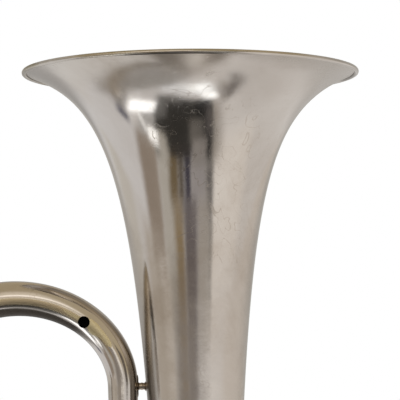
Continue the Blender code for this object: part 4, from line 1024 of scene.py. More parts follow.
# %% Casings
CASING_LENGTH = 2 * half_size("valve_casing_1")[2]
CASING_RADIUS = 0.0140
CASING_BORE = 0.0125
CASING_RING = (0.0012, 0.0036)  # where the ring starts and ends, from the cap's skirt
CAP_SKIRT = 0.0070
LEG_RADIUS = 0.0080
MOUTHPIPE_END = 0.0080
DRILL_FROM, DRILL_LENGTH = 0.009, 0.008  # where a drill starts, from a valve's axis, and how far it goes
VALVES = [middle(f"valve_casing_{n}") - AXIS_Z * CASING_LENGTH / 2 for n in (1, 2, 3)]
PORT_Z = middle("valve_crossover_1_2")[2]
UPPER_Z = middle("second_slide_sleeve_upper")[2]
LOWER_Z = middle("second_slide_sleeve_lower")[2]


def loop(way):
    """The two tubes of a valve's own loop, one above the other."""
    return [(way, UPPER_Z, SLEEVE_RADIUS), (way, LOWER_Z, SLEEVE_RADIUS)]


# Tubes that enter each valve: which way they lie, how high and how wide.
ENTRIES = [
    [(AXIS_Y, PORT_Z, MOUTHPIPE_END), (AXIS_X, PORT_Z, LEG_RADIUS), *loop(-AXIS_X)],
    [(-AXIS_X, PORT_Z, LEG_RADIUS), (AXIS_X, PORT_Z, LEG_RADIUS), *loop(-AXIS_Y)],
    [(-AXIS_X, PORT_Z, LEG_RADIUS), (AXIS_X, PORT_Z, SLEEVE_RADIUS), *loop(-AXIS_Y)],
]


def casing(number, foot):
    """A tube with a ring under each cap, and a hole for every tube that enters it."""
    ring, top = CASING_RADIUS + BEAD, CASING_LENGTH
    low, high = (CAP_SKIRT + edge for edge in CASING_RING)
    lower = [(CASING_RADIUS, 0), (CASING_RADIUS, low), (ring, low), (ring, high), (CASING_RADIUS, high)]
    upper = [(radius, top - height) for radius, height in reversed(lower)]
    profile = eased([*lower, *upper, (CASING_BORE, top), (CASING_BORE, 0)], BEAD / 2)
    piece = smooth(f"valve_casing_{number}", [turned(profile, foot, sides=96)], silver)
    below = foot * (1, 1, 0)
    bars = [
        drill(below + AXIS_Z * z + way * DRILL_FROM, way, radius + FIT / 2, DRILL_LENGTH)
        for way, z, radius in ENTRIES[number - 1]
    ]
    cut(piece, bars)


print("casings are", round(CASING_LENGTH, 4), "long")


# %% [markdown]
# ## Valve caps
# The caps are knurled so that fingers can grip them: the radius gains a small cosine of the angle, repeated
# all the way round, in one band of rows. The top cap has a hole for the stem, and the bottom one a vent.

# %% Caps
CAP_RADIUS = 0.0156
CAP_ROOF = 0.0032
CAP_EASE = 0.0004
STEM_RADIUS = 0.0030
VENT_RADIUS = 0.0015
KNURLS = 48
KNURL_DEPTH = 0.00022
KNURL_ROW = 0.0005  # longest step between the rows of a knurled side
KNURL_INSET = 0.0010  # from the skirt's edge to the knurls
TOP_CHAMFER, TOP_PLAIN = 0.0012, 0.0022  # from a cap's outer end to its side, and to its knurls
BOTTOM_CHAMFER, BOTTOM_PLAIN = 0.0014, 0.0024
# Outer ends of the caps: radius, and height from the end.
TOP_CROWN = np.array([(CAP_RADIUS - 0.0014, -0.0002), (0.0078, -0.0008), (0.0062, 0)])
BOTTOM_CROWN = np.array([(0.0048, 0), (0.0062, 0.0007), (CAP_RADIUS - 0.0016, 0.0003)])
NO_LENGTH = 1e-12  # keeps a vector of no length from being divided by zero


def knurled(profile, foot, low, high):
    """A turned cap whose radius gains depth x cos(count x angle) in the rows between low and high."""
    shell = turned(profile, foot, sides=4 * KNURLS)
    height, reach = profile[:, 1], profile[:, 0]
    band = (height > low) & (height < high) & (reach > CAP_RADIUS - CAP_EASE)
    angle = np.linspace(0, 2 * np.pi, 4 * KNURLS, endpoint=False)
    ripple = KNURL_DEPTH * np.cos(KNURLS * angle)
    away = unit((shell - foot) * (1, 1, 0) + NO_LENGTH)
    return shell + band[:, None, None] * ripple[None, :, None] * away


def spread(profile, longest):
    """The same profile with extra points, so that no edge is longer than longest."""
    edges = list(zip(profile, profile[1:]))
    counts = [int(np.linalg.norm(np.subtract(b, a)) / longest) + 1 for a, b in edges]
    runs = [line(a, b, max(2, count))[:-1] for (a, b), count in zip(edges, counts)]
    return np.concatenate([*runs, [profile[-1]]])


def caps(number, foot):
    """A knurled cap at each end: the top one with a hole for the stem, the bottom one with a vent."""
    bore, roof, rim = CASING_RADIUS + FIT, CASING_LENGTH + FIT, CASING_LENGTH - CAP_SKIRT
    top, hole = roof + CAP_ROOF, STEM_RADIUS + 2 * FIT
    side = spread([(CAP_RADIUS, rim), (CAP_RADIUS, top - TOP_CHAMFER)], KNURL_ROW)
    crown = TOP_CROWN + (0, top)
    profile = eased([*side, *crown, (hole, top), (hole, roof), (bore, roof), (bore, rim)], CAP_EASE, steps=4)
    cap = knurled(profile, foot, rim + KNURL_INSET, top - TOP_PLAIN)
    smooth(f"valve_top_cap_{number}", [cap], silver)
    floor = -FIT - CAP_ROOF
    side = spread([(CAP_RADIUS, floor + BOTTOM_CHAMFER), (CAP_RADIUS, CAP_SKIRT)], KNURL_ROW)
    inner = [(bore, CAP_SKIRT), (bore, -FIT), (VENT_RADIUS, -FIT), (VENT_RADIUS, floor)]
    profile = eased([*side, *inner, *(BOTTOM_CROWN + (0, floor))], CAP_EASE, steps=4)
    cap = knurled(profile, foot, floor + BOTTOM_PLAIN, CAP_SKIRT - KNURL_INSET)
    smooth(f"valve_bottom_cap_{number}", [cap], silver)


print("caps have", KNURLS, "knurls")


# %% [markdown]
# ## Pistons and buttons
# A piston is a bar with three passages bored through it, on a stem that comes out of the top cap. On the
# stem sit a felt that softens the landing and a button. The button is a metal dish with a disc of shell
# set in it, so the disc is a piece of its own.

# %% Pistons and buttons
PISTON_RADIUS = 0.0122
PISTON_PORT = 0.0062
TURNED_EASE = 0.0005
SPRING_ROOM = 0.040  # from the casing's foot to the piston
FELT_RADIUS = 0.0075
FELT_EASE = 0.0009
BUTTON_RADIUS = 0.0095
BUTTON_FOOT, BUTTON_FLARE = 0.0070, 0.0020  # radius at the foot, and height over which it widens
BUTTON_EDGE = 0.0006
DISH_DEPTH = 0.0014
DISH_LIP, DISH_WALL = 0.0016, 0.0019  # from the button's side to the dish, at its lip and at its floor
SHELL_GAP, SHELL_EASE = 0.0001, 0.0006
SHELL_SIDE, SHELL_TOP, SHELL_CHAMFER = 0.0021, 0.0030, 0.0005  # from the button's side, and down from its top


def piston(number, foot):
    """A bar on a stem, bored through at three heights."""
    head = CASING_LENGTH - FIT
    low, top = (corner[2] - foot[2] for corner in corners(f"finger_button_{number}"))
    stem = (low + top) / 2
    bar = [(0, SPRING_ROOM), (PISTON_RADIUS, SPRING_ROOM), (PISTON_RADIUS, head)]
    bar += [(STEM_RADIUS, head), (STEM_RADIUS, stem), (0, stem)]
    piece = smooth(f"piston_{number}", [turned(eased(bar, TURNED_EASE, ring=False), foot)], brass)
    below = foot * (1, 1, 0)
    ways = ((AXIS_X, PORT_Z), (AXIS_Y, UPPER_Z), (AXIS_Y, LOWER_Z))
    starts = [(below + AXIS_Z * z - way * CAP_RADIUS, way) for way, z in ways]
    cut(piece, [drill(start, way, PISTON_PORT, 2 * CAP_RADIUS) for start, way in starts])


def button(number, foot):
    """A felt ring, a dish that widens upwards, and a disc of shell that fills the dish."""
    felt_foot, felt_top = (corner[2] - foot[2] for corner in corners(f"valve_felt_{number}"))
    low, top = (corner[2] - foot[2] for corner in corners(f"finger_button_{number}"))
    wide, socket = BUTTON_RADIUS, STEM_RADIUS + FIT
    stem, floor = (low + top) / 2 + FIT, top - DISH_DEPTH
    ring = [(socket, felt_foot), (FELT_RADIUS, felt_foot), (FELT_RADIUS, felt_top), (socket, felt_top)]
    smooth(f"valve_felt_{number}", [turned(eased(ring, FELT_EASE), foot)], felt)
    dish = [(0, stem), (socket, stem), (socket, low), (BUTTON_FOOT, low), (wide, low + BUTTON_FLARE)]
    dish += [(wide, top - BUTTON_EDGE), (wide - BUTTON_EDGE, top), (wide - DISH_LIP, top)]
    dish += [(wide - DISH_WALL, floor), (0, floor)]
    smooth(f"finger_button_{number}", [turned(eased(dish, TURNED_EASE, ring=False), foot)], silver)
    side, base = wide - SHELL_SIDE, floor + SHELL_GAP
    disc = [(0, base), (side, base), (side, top - SHELL_CHAMFER), (wide - SHELL_TOP, top), (0, top)]
    shell = turned(eased(disc, SHELL_EASE, ring=False), foot)
    extra(f"button_shell_{number}", [shell], pearl, f"piston_{number}", "pearl")


print("pistons are", round(CASING_LENGTH - FIT - SPRING_ROOM, 4), "long")


# %% [markdown]
# ## Springs
# Under each piston stands a spring: a helix, along which the angle and the height grow together. It shortens
# when its piston goes down. With the spring, a valve is complete, so a loop makes all three.

# %% Springs and three valves
SPRING_WIRE = 0.0006
SPRING_COIL = 0.0104
SPRING_TURNS = 6
POINTS_A_TURN = 56


def spring(number, foot):
    """A helix: the angle and the height grow together."""
    turn = np.linspace(0, 2 * np.pi * SPRING_TURNS, POINTS_A_TURN * SPRING_TURNS)
    low, high = FIT + SPRING_WIRE, SPRING_ROOM - FIT - SPRING_WIRE
    rise = low + (high - low) * turn / turn[-1]
    path = foot + np.column_stack([SPRING_COIL * np.cos(turn), SPRING_COIL * np.sin(turn), rise])
    coil = rod(path, SPRING_WIRE, AXIS_Z, sides=12, spacing=0.0012)
    piece = smooth(f"piston_spring_{number}", [coil], steel)
    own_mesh(piece)


for number, foot in enumerate(VALVES, start=1):
    casing(number, foot)
    caps(number, foot)
    piston(number, foot)
    button(number, foot)
    spring(number, foot)


# %% [markdown]
# ## Slides and their sleeves
# A valve lengthens the tube by sending the air through a loop. Each loop ends in a slide that is pulled to
# tune it: two straight legs and a half circle, drawn as one bent tube. Sleeves take the legs. Both have
# collars, where a real slide has a soldered ring that stops it and gives fingers a hold. A collar is only
# a stretch of the profile with a larger radius.

# %% Sleeve and slide
CROOK_STUB = 0.006  # straight end of a crook that stays outside its sleeves
LEG_RELIEF = 0.004  # how much shorter a leg is than its sleeve
COLLAR = 0.0010
END_COLLAR = 0.0045  # length of the collar at a sleeve's open end
STUB_COLLAR, STUB_COLLAR_HEIGHT = 0.0052, 0.8 * COLLAR  # the collar where a sleeve enters a casing
CROOK_COLLAR = (0.0042, 0.0006)  # where the collar of a slide's leg starts and ends, from the leg's end


def ease(start, leaving, end, arriving, pull, count=40):
    """A cubic that leaves along one direction and arrives along another, with handles of length pull."""
    t = np.linspace(0, 1, count)[:, None]
    first, second = start + leaving * pull, end - arriving * pull
    return (1 - t) ** 3 * start + 3 * t * (1 - t) ** 2 * first + 3 * t**2 * (1 - t) * second + t**3 * end


def sleeve(solid, path, first=SLEEVE_RADIUS, last=SLEEVE_RADIUS, beside=AXIS_Z):
    """A tube with a collar where it enters a casing and another at its open end."""
    length = distances(path)[-1]
    collars = [(0, STUB_COLLAR, STUB_COLLAR_HEIGHT), (length - END_COLLAR, length, COLLAR)]
    return smooth(solid, [tube(path, first, last, TUBE_WALL, beside, collars=collars)], silver)


def slide(solid, centre, out, across, length, half, radius, more=()):
    """Legs of a length inside the sleeves, a stub outside them and half a circle. Each stub has a collar."""
    leg = length + CROOK_STUB - LEG_RELIEF
    near, far = centre + across * half, centre - across * half
    bend = arc(centre, across * half, out * half, np.pi, 90)
    path = joined(line(near - out * leg, near), bend, line(far, far - out * leg))
    total = distances(path)[-1]
    first, last = (leg - edge for edge in CROOK_COLLAR)
    collars = [(first, last, COLLAR), (total - last, total - first, COLLAR)]
    bent = tube(path, radius, radius, TUBE_WALL, np.cross(out, across), collars=collars)
    return smooth(solid, [bent, *more], brass)


print("slides stay", CROOK_STUB, "out of their sleeves")


# %% [markdown]
# ## First and second valve slides
# The first slide points away from the bell and the second one towards the player, so that a hand reaches
# both. Two crossover tubes carry the air from casing to casing.

# %% Crossovers, first and second slides
SPIGOT = CASING_BORE + FIT / 2  # from a valve's axis to the tubes that enter it
LOOP_HALF = (UPPER_Z - LOWER_Z) / 2
VALVE_Y = VALVES[0][1]
first_x, second_x, third_x = (foot[0] for foot in VALVES)
first_end = corners("first_slide_sleeve_upper")[0][0]
second_end = corners("second_slide_sleeve_upper")[0][1]
for level, z in (("upper", UPPER_Z), ("lower", LOWER_Z)):
    sleeve(f"first_slide_sleeve_{level}", line((first_x - SPIGOT, VALVE_Y, z), (first_end, VALVE_Y, z)))
    sleeve(f"second_slide_sleeve_{level}", line((second_x, VALVE_Y - SPIGOT, z), (second_x, second_end, z)))
crossings = {"valve_crossover_1_2": (first_x, second_x), "valve_crossover_2_3": (second_x, third_x)}
for solid, (left_x, right_x) in crossings.items():
    cross = line((left_x + SPIGOT, VALVE_Y, PORT_Z), (right_x - SPIGOT, VALVE_Y, PORT_Z))
    smooth(solid, [tube(cross, LEG_RADIUS, LEG_RADIUS, TUBE_WALL, AXIS_Z)], silver)
first_centre = np.array([first_end - CROOK_STUB, VALVE_Y, PORT_Z])
slide("first_slide", first_centre, -AXIS_X, AXIS_Z, first_x - SPIGOT - first_end, LOOP_HALF, LEG_RADIUS)
second_centre = np.array([second_x, second_end - CROOK_STUB, PORT_Z])
slide("second_slide", second_centre, -AXIS_Y, AXIS_Z, VALVE_Y - SPIGOT - second_end, LOOP_HALF, LEG_RADIUS)
print("first and second slides done")


# %% [markdown]
# ## Third valve slide
# The third loop is the longest, so its slide hangs down in front of the valves. Its sleeves leave the casing
# one above the other and have to end side by side. A cubic takes each from one place to the other, level
# at the casing and upright at the slide.

# %% Third slide
KNUCKLE_DROP = 0.026
KNUCKLE_PULL = KNUCKLE_DROP * 2 / 3
third_slide_x, third_slide_y, _ = middle("third_slide")
third_foot = corners("third_slide_sleeve_left")[0][2]
for side, z, way in (("left", LOWER_Z, -1), ("right", UPPER_Z, 1)):
    start = np.array([third_x, VALVE_Y - SPIGOT, z])
    bend = start - AXIS_Y * (CASING_RADIUS - SPIGOT + FIT)
    knuckle = np.array([third_slide_x + way * LOOP_HALF, third_slide_y, z - KNUCKLE_DROP])
    curve = ease(bend, -AXIS_Y, knuckle, -AXIS_Z, KNUCKLE_PULL)
    path = joined(line(start, bend, 4), curve, line(knuckle, (knuckle[0], knuckle[1], third_foot)))
    sleeve(f"third_slide_sleeve_{side}", path, beside=AXIS_X)
third_centre = np.array([third_slide_x, third_slide_y, third_foot - CROOK_STUB])
third_leg = LOWER_Z - KNUCKLE_DROP - third_foot
slide("third_slide", third_centre, -AXIS_Z, AXIS_X, third_leg, LOOP_HALF, LEG_RADIUS)
print("third slide has legs of", round(third_leg, 4))


# %% [markdown]
# ## Main tuning slide
# The main slide tunes the whole horn. Its rear sleeve hangs under the inner branch, and the front one comes
# from the third valve by way of an elbow. A drain nipple sits at the crook's lowest point, in one piece
# with the slide.

# %% Main tuning slide
TUNING_LEG = 0.0086
ELBOW_RADIUS = 0.020
NIPPLE = [(0.0017, -0.0012), (0.0046, -0.0012), (0.0044, 0.0010)]  # radius, and height from the crook
NIPPLE += [(0.0036, 0.0020), (0.0034, 0.0050), (0.0017, 0.0050)]
NIPPLE_EASE = 0.0004
CROOK_RADIUS = -VALVE_Y / 2
CROOK_REACH = CROOK_RADIUS + TUNING_LEG
TUNING_FOOT_Z = corners("tuning_sleeve_rear")[0][2]
TUNING_SLEEVE_TOP = corners("tuning_sleeve_rear")[1][2]
TUNING_LENGTH = TUNING_SLEEVE_TOP - TUNING_FOOT_Z
rear_line = line((INNER_X, 0, TUNING_SLEEVE_TOP), (INNER_X, 0, TUNING_FOOT_Z))
sleeve("tuning_sleeve_rear", rear_line, SLEEVE_END_RADIUS, SLEEVE_END_RADIUS, AXIS_Y)
elbow_centre = np.array([INNER_X - ELBOW_RADIUS, VALVE_Y, PORT_Z - ELBOW_RADIUS])
elbow = arc(elbow_centre, AXIS_Z * ELBOW_RADIUS, AXIS_X * ELBOW_RADIUS)
start = np.array([third_x + SPIGOT, VALVE_Y, PORT_Z])
down = joined(line(start, elbow[0], 6), elbow, line(elbow[-1], (INNER_X, VALVE_Y, TUNING_FOOT_Z)))
sleeve("tuning_sleeve_front", down, SLEEVE_RADIUS, SLEEVE_END_RADIUS, AXIS_Y)
crook = np.array([INNER_X, VALVE_Y / 2, TUNING_FOOT_Z - CROOK_STUB])
drain = turned(eased(NIPPLE, NIPPLE_EASE), crook - AXIS_Z * CROOK_REACH, -AXIS_Z, sides=40)
slide("main_tuning_slide", crook, -AXIS_Z, AXIS_Y, TUNING_LENGTH, CROOK_RADIUS, TUNING_LEG, [drain])
print("main tuning slide has legs of", round(TUNING_LENGTH, 4))


# %% [markdown]
# ## Water key: saddle and pin
# Breath condenses in the tube, and the water key lets it out at the lowest point. A lever turns on a pin,
# and the pin is held by a saddle: two ears on a small foot. Ears and foot are flat plates, so one helper
# pulls an outline to a thickness and bevels its edges.

# %% Saddle and pin
KEY_BARREL_LENGTH = 0.0060
KEY_PIN = 0.0012
KEY_STAND_OFF = 0.0060  # from the crook to the pin
EAR_RADIUS, EAR_FOOT = 0.0023, 0.0027  # half of an ear's width at the pin and at the foot
EAR_THICK = 0.0014
FOOT_TOP, FOOT_SINK = 0.0016, 0.0006  # height of the saddle's foot, and how far it sinks into its solder
FOOT_PROUD = 0.001  # how far the foot reaches past the ears' inner sides
OUTLINE_STEP = 0.0008
PIN_EASE = 0.0005
PIVOT = np.array(next(joint["pos_m"] for joint in frame["joints"] if joint["name"] == "water_key_open"))


def slab(outline, low, high, origin, across, along, bevel=0.0003):
    """A flat plate: an outline of (across, along) pairs, pulled from low to high with bevelled edges."""
    outline = np.asarray(outline, float)
    centre = outline.mean(axis=0)
    through = np.cross(across, along)
    small = centre + (outline - centre) * (1 - bevel / np.abs(outline - centre).max())
    point = np.broadcast_to(centre, outline.shape)
    rows = [(point, low), (small, low), (outline, low + bevel)]
    rows += [(outline, high - bevel), (small, high), (point, high)]
    flat = np.stack([np.column_stack([shape, np.full(len(shape), level)]) for shape, level in rows])
    return origin + flat @ np.stack([across, along, through])


outward_way = unit(PIVOT - crook)
tangent = np.cross(outward_way, AXIS_X)
key_seat = crook + outward_way * CROOK_REACH
ear_turn = np.linspace(0, np.pi, 20)
ear_top = EAR_RADIUS * np.column_stack([np.cos(ear_turn), np.sin(ear_turn)]) + (0, KEY_STAND_OFF)
ear_side = [(-EAR_RADIUS, KEY_STAND_OFF), (-EAR_FOOT, FIT), (EAR_FOOT, FIT), (EAR_RADIUS, KEY_STAND_OFF)]
ear = np.concatenate([ear_top, spread(ear_side, OUTLINE_STEP)[1:-1]])
around = [(-EAR_FOOT, FIT), (EAR_FOOT, FIT), (EAR_FOOT, FOOT_TOP), (-EAR_FOOT, FOOT_TOP), (-EAR_FOOT, FIT)]
base = spread(around, OUTLINE_STEP)[:-1]
gap = KEY_BARREL_LENGTH / 2 + FIT
sides = ((-gap - EAR_THICK, -gap), (gap, gap + EAR_THICK))
ears = [slab(ear, a, b, key_seat, tangent, outward_way) for a, b in sides]
foot_half = gap + FOOT_PROUD
foot_slab = slab(base, -foot_half, foot_half, key_seat - outward_way * FOOT_SINK, tangent, outward_way)
smooth("water_key_saddle", [*ears, foot_slab], brass)
half_pin = half_size("water_key_pin")[0]
pin = eased([(0, -half_pin), (KEY_PIN, -half_pin), (KEY_PIN, half_pin), (0, half_pin)], PIN_EASE, ring=False)
smooth("water_key_pin", [turned(pin, PIVOT, AXIS_X, sides=32)], steel)
print("pin is", round(2 * half_pin, 4), "long")


# %% [markdown]
# ## Water key: lever and cork
# The lever is a bent wire through three places: the cork's cup, the pin and the finger's touch. Cup, barrel
# and touch are turned and soldered to the wire, so they are shells of the same piece. The cork pad that
# closes the drain is a piece of its own.

# %% Lever and cork
KEY_WIRE = 0.0016
KEY_BARREL = 0.0028
KEY_PULL = 0.0125  # handles of the lever's curve
KEY_TOUCH = np.array([0, -0.012, 0.026])  # from the pin
CUP_GAP = 0.0010  # from the lever's wire to the cork
CUP_FOOT, CUP_FLARE, CUP_RIM, CUP_FLOOR = 0.0030, 0.0012, 0.0040, 0.0026  # radius, then heights
CUP_CLEARANCE, CUP_WALL = 0.0001, 0.0003
# The finger's touch: radius and height of a shallow dish.
TOUCH = [(0, -0.0008), (0.0036, -0.0012), (0.0050, -0.0016), (0.0055, -0.0008), (0.0055, 0.0008)]
TOUCH += [(0.0040, 0.0016), (0, 0.0016)]
TOUCH_EASE, CUP_EASE, BARREL_EASE, CORK_EASE = 0.0006, 0.0003, 0.0004, 0.0004
cork_radius, _, cork_half = half_size("water_key_cork")
cork_foot = middle("water_key_cork") * (1, 1, 0) + AXIS_Z * corners("water_key_cork")[0][2]
cup_foot = cork_foot - AXIS_Z * (FIT + KEY_WIRE + CUP_GAP)
lower = ease(cup_foot, -AXIS_Y, PIVOT, AXIS_Z, KEY_PULL)
upper = ease(PIVOT, AXIS_Z, PIVOT + KEY_TOUCH, AXIS_Z, KEY_PULL)
wire = rod(joined(lower, upper), KEY_WIRE, AXIS_X, spacing=OUTLINE_STEP)
pin_bore, end = KEY_PIN + FIT, KEY_BARREL_LENGTH / 2
barrel = eased([(pin_bore, -end), (KEY_BARREL, -end), (KEY_BARREL, end), (pin_bore, end)], BARREL_EASE)
lip = cork_radius + CUP_CLEARANCE
wide = lip + CUP_WALL
cup = [(0, 0), (CUP_FOOT, 0), (wide, CUP_FLARE), (wide, CUP_RIM)]
cup += [(lip, CUP_RIM), (lip, CUP_FLOOR), (0, CUP_FLOOR)]
lever = [
    wire,
    turned(barrel, PIVOT, AXIS_X, sides=40),
    turned(eased(cup, CUP_EASE, ring=False), cup_foot, sides=48),
    turned(eased(TOUCH, TOUCH_EASE, ring=False), PIVOT + KEY_TOUCH, AXIS_Y, sides=48),
]
smooth("water_key_lever", lever, brass)
cork_pad = [(0, 0), (cork_radius, 0), (cork_radius, 2 * cork_half), (0, 2 * cork_half)]
smooth("water_key_cork", [turned(eased(cork_pad, CORK_EASE, ring=False), cork_foot, sides=48)], cork)
print("cork is", round(2 * cork_radius, 4), "wide")


# %% [markdown]
# ## Mouthpipe
# The mouthpipe passes once round the bell while it drops to the first valve. Seen from above it is made of
# straight lines and arcs, and its height follows a smooth step, so that the drop starts and ends level.

# %% Mouthpipe
MOUTHPIPE_START = 0.0062
MOUTHPIPE_BEND = 0.050
REAR_BEND = 0.044
RECEIVER_LAP = 0.014  # how far the receiver laps over the mouthpipe
MOUTHPIPE_LEAD = 0.036  # straight run before the first bend
ENTRY_COLLAR = 0.010  # length of the collar at the first valve
receiver_low, receiver_high = corners("mouthpiece_receiver")
RECEIVER_X, _, MOUTHPIPE_Z = middle("mouthpiece_receiver")
MOUTHPIPE_Y = receiver_high[1] - RECEIVER_LAP
WRAP = -MOUTHPIPE_Y - MOUTHPIPE_BEND - MOUTHPIPE_LEAD
turn_in = np.array([RECEIVER_X, -WRAP - MOUTHPIPE_BEND, 0])
lead = line((RECEIVER_X, MOUTHPIPE_Y, 0), turn_in)
bend = arc(turn_in + AXIS_X * MOUTHPIPE_BEND, -AXIS_X * MOUTHPIPE_BEND, AXIS_Y * MOUTHPIPE_BEND, count=60)
wrap = arc(BELL_FOOT, -AXIS_Y * WRAP, AXIS_X * WRAP, np.pi, 160)
turn_down = np.array([first_x + REAR_BEND, WRAP - REAR_BEND, 0])
rear_bend = arc(turn_down, AXIS_Y * REAR_BEND, -AXIS_X * REAR_BEND, count=60)
last_run = line(rear_bend[-1], (first_x, VALVE_Y + SPIGOT, 0), 40)
path = joined(lead, bend, wrap, line(wrap[-1], rear_bend[0], 60), rear_bend, last_run)
far = distances(path)
drop_from = distances(joined(lead, bend))[-1] + WRAP * np.pi / 4
drop_to = far[-1] - distances(last_run)[-1]
path[:, 2] = MOUTHPIPE_Z + (PORT_Z - MOUTHPIPE_Z) * step(far, drop_from, drop_to)
collars = [(far[-1] - ENTRY_COLLAR, far[-1], COLLAR)]
pipe = tube(path, MOUTHPIPE_START, MOUTHPIPE_END, TUBE_WALL, AXIS_Z, collars=collars)
smooth("mouthpipe", [pipe], silver)
print("mouthpipe is", round(float(far[-1]), 3), "long")


# %% [markdown]
# ## Receiver
# The receiver is a turned sleeve that laps over the mouthpipe and takes the mouthpiece's shank in a tapered
# bore. A ring at its middle and another at its mouth keep the thin wall from splitting.

# %% Receiver
RECEIVER_LENGTH = receiver_high[1] - receiver_low[1]
RECEIVER_EASE = 0.0004
SHANK_DEPTH = 0.025
RING_RADIUS = 0.0101  # the ring at the middle, where the shank ends
MOUTH_RADIUS = 0.0103
shank_end = RECEIVER_LENGTH - SHANK_DEPTH
lap_end = RECEIVER_LAP + FIT
# Rows of the profile are radius and height, out along the outside and back along the bore.
outer = [(0.0080, 0), (0.0084, 0.004), (0.0089, shank_end - 0.002)]
outer += [(RING_RADIUS, shank_end - 0.0015), (RING_RADIUS, shank_end + 0.0015), (0.0091, shank_end + 0.002)]
outer += [(0.0091, RECEIVER_LENGTH - 0.0045), (MOUTH_RADIUS, RECEIVER_LENGTH - 0.004)]
outer += [(MOUTH_RADIUS, RECEIVER_LENGTH)]
inner = [(0.0063, RECEIVER_LENGTH), (0.0056, shank_end - FIT), (0.0056, lap_end)]
inner += [(0.0066, lap_end), (0.0066, 0)]
receiver_foot = np.array([RECEIVER_X, receiver_high[1], MOUTHPIPE_Z])
smooth("mouthpiece_receiver", [turned(eased(outer + inner, RECEIVER_EASE), receiver_foot, -AXIS_Y)], silver)
print("receiver is", round(RECEIVER_LENGTH, 4), "long")


# %% [markdown]
# ## Mouthpiece
# The mouthpiece is turned in one piece: a rim, a cup, a narrow throat and a shank that fits the receiver.
# The outside and the inside of the cup are quarters of ellipses, and the other corners are eased.

# %% Mouthpiece
MOUTHPIECE_LENGTH = 0.062
RIM_HALF = 0.0185
RIM_HEIGHT = 0.003
RIM_EASE, SHANK_EASE = 0.0009, 0.0004
CUP_RADIUS = 0.0130
CUP_SKIN = 0.0035  # wall of the cup under the rim
CUP_DEPTH = 0.030
NECK_RADIUS = 0.0076
THROAT_RADIUS = 0.0033
BACKBORE_START = 0.036  # from the rim's top


def cup_side(neck, wide, level):
    """A quarter of an ellipse: from a radius wide at a level down to a radius neck, over the cup's depth."""
    turn = np.linspace(0, np.pi / 2, 30)
    return np.column_stack([neck + (wide - neck) * np.cos(turn), level - CUP_DEPTH * np.sin(turn)])


top, under = MOUTHPIECE_LENGTH, MOUTHPIECE_LENGTH - RIM_HEIGHT
cup_outside = cup_side(NECK_RADIUS, CUP_RADIUS + CUP_SKIN, under)
cup_inside = cup_side(THROAT_RADIUS, CUP_RADIUS, top)[::-1]
tip = FIT - SHANK_DEPTH
shank_side = [cup_outside[-1], (0.0072, 0.012), (0.0060, FIT), (0.0053, tip), (0.0046, tip)]
shank = eased([*shank_side, (THROAT_RADIUS, top - BACKBORE_START), cup_inside[0]], SHANK_EASE, ring=False)
rim_corners = [cup_inside[-2], (CUP_RADIUS + 0.0004, top - 0.0006), (0.0142, top), (0.0168, top)]
rim_corners += [(RIM_HALF, top - 0.0010), (RIM_HALF, under + 0.0003), (0.0176, under), cup_outside[1]]
lip_rim = eased(rim_corners, RIM_EASE, ring=False)
profile = np.concatenate([cup_outside[1:-1], shank, cup_inside[1:-1], lip_rim[1:-1]])
mouth_place = receiver_foot - AXIS_Y * RECEIVER_LENGTH
smooth("mouthpiece", [turned(profile, mouth_place, -AXIS_Y)], silver)
print("mouthpiece is", round(MOUTHPIECE_LENGTH + SHANK_DEPTH, 4), "long with its shank")


# %% [markdown]
# ## Thumb ring
# The right thumb holds the horn by a ring on the first casing. A turned pad is bent onto the casing with the
# rule of the braces' feet, and the ring is a wire soldered to it.

# %% Thumb ring
THUMB_RADIUS, THUMB_WIRE = 0.0125, 0.0018
THUMB_PAD = [(0, 0), (0.0048, 0), (0.0048, 0.0007), (0.0022, 0.0019), (0, 0.0019)]
THUMB_PAD_EASE = 0.0004
ring_middle = middle("thumb_ring")
ring = turned(round_wire(THUMB_RADIUS, 0, THUMB_WIRE), ring_middle, AXIS_X, sides=96)
thumb_pad = eased(THUMB_PAD, THUMB_PAD_EASE, ring=False)
pad_foot = np.array([ring_middle[0], VALVE_Y - CASING_RADIUS - FIT, ring_middle[2]])
pad_shell = turned(thumb_pad, pad_foot, -AXIS_Y, sides=48)
pad_shell = bent_onto(pad_shell, thumb_pad[:, 1], AXIS_X, pad_foot, CASING_RADIUS, FIT, AXIS_Y)
smooth("thumb_ring", [ring, pad_shell], silver)
print("thumb ring is", 2 * THUMB_RADIUS, "wide")


# %% [markdown]
# ## The studio
# The floor is pale, and the world is white where the camera or a mirror looks at it, so the horn stands
# before pure white. The world lights everything else with less, or the horn would cast no shadow. Two soft
# lamps from above give the shadows a direction. They stay out of the plate's reflections.

# %% Floor, world and lamps
FLOOR_HALF = 6.0
FLOOR_TONES = (0.80, 0.80, 0.80, 1), (0.84, 0.84, 0.83, 1)
FLOOR_GRAIN = 3
WORLD_LIGHT = 0.55
HEART = (BELL_X / 2, 0, 0.4)  # where the lamps look


def stage_mesh(name, points, faces, finish):
    """An object of the studio, which is not part of the horn."""
    mesh = bpy.data.meshes.new(name)
    mesh.from_pydata(points.tolist(), [], faces)
    thing = bpy.data.objects.new(name, mesh)
    bpy.context.scene.collection.objects.link(thing)
    mesh.materials.append(finish)
    return thing


def lamp(name, spot, size, power):
    """A square soft lamp over the horn that neither the camera nor a mirror sees."""
    light = bpy.data.lights.new(name, "AREA")
    light.size, light.energy = size, power
    thing = bpy.data.objects.new(name, light)
    bpy.context.scene.collection.objects.link(thing)
    thing.matrix_world = look_along(Vector(spot), Vector(HEART), 0)
    thing.visible_camera = False
    thing.visible_glossy = False
    return thing


floor_finish, tree, shader, place = new_finish("floor", Roughness=0.9)
feed(tree, shader.inputs["Base Color"], mixed(tree, noise(tree, place, FLOOR_GRAIN), *FLOOR_TONES))
square = FLOOR_HALF * np.array([(-1, -1, 0), (1, -1, 0), (1, 1, 0), (-1, 1, 0)])
stage_mesh("floor", square, [(0, 1, 2, 3)], floor_finish)

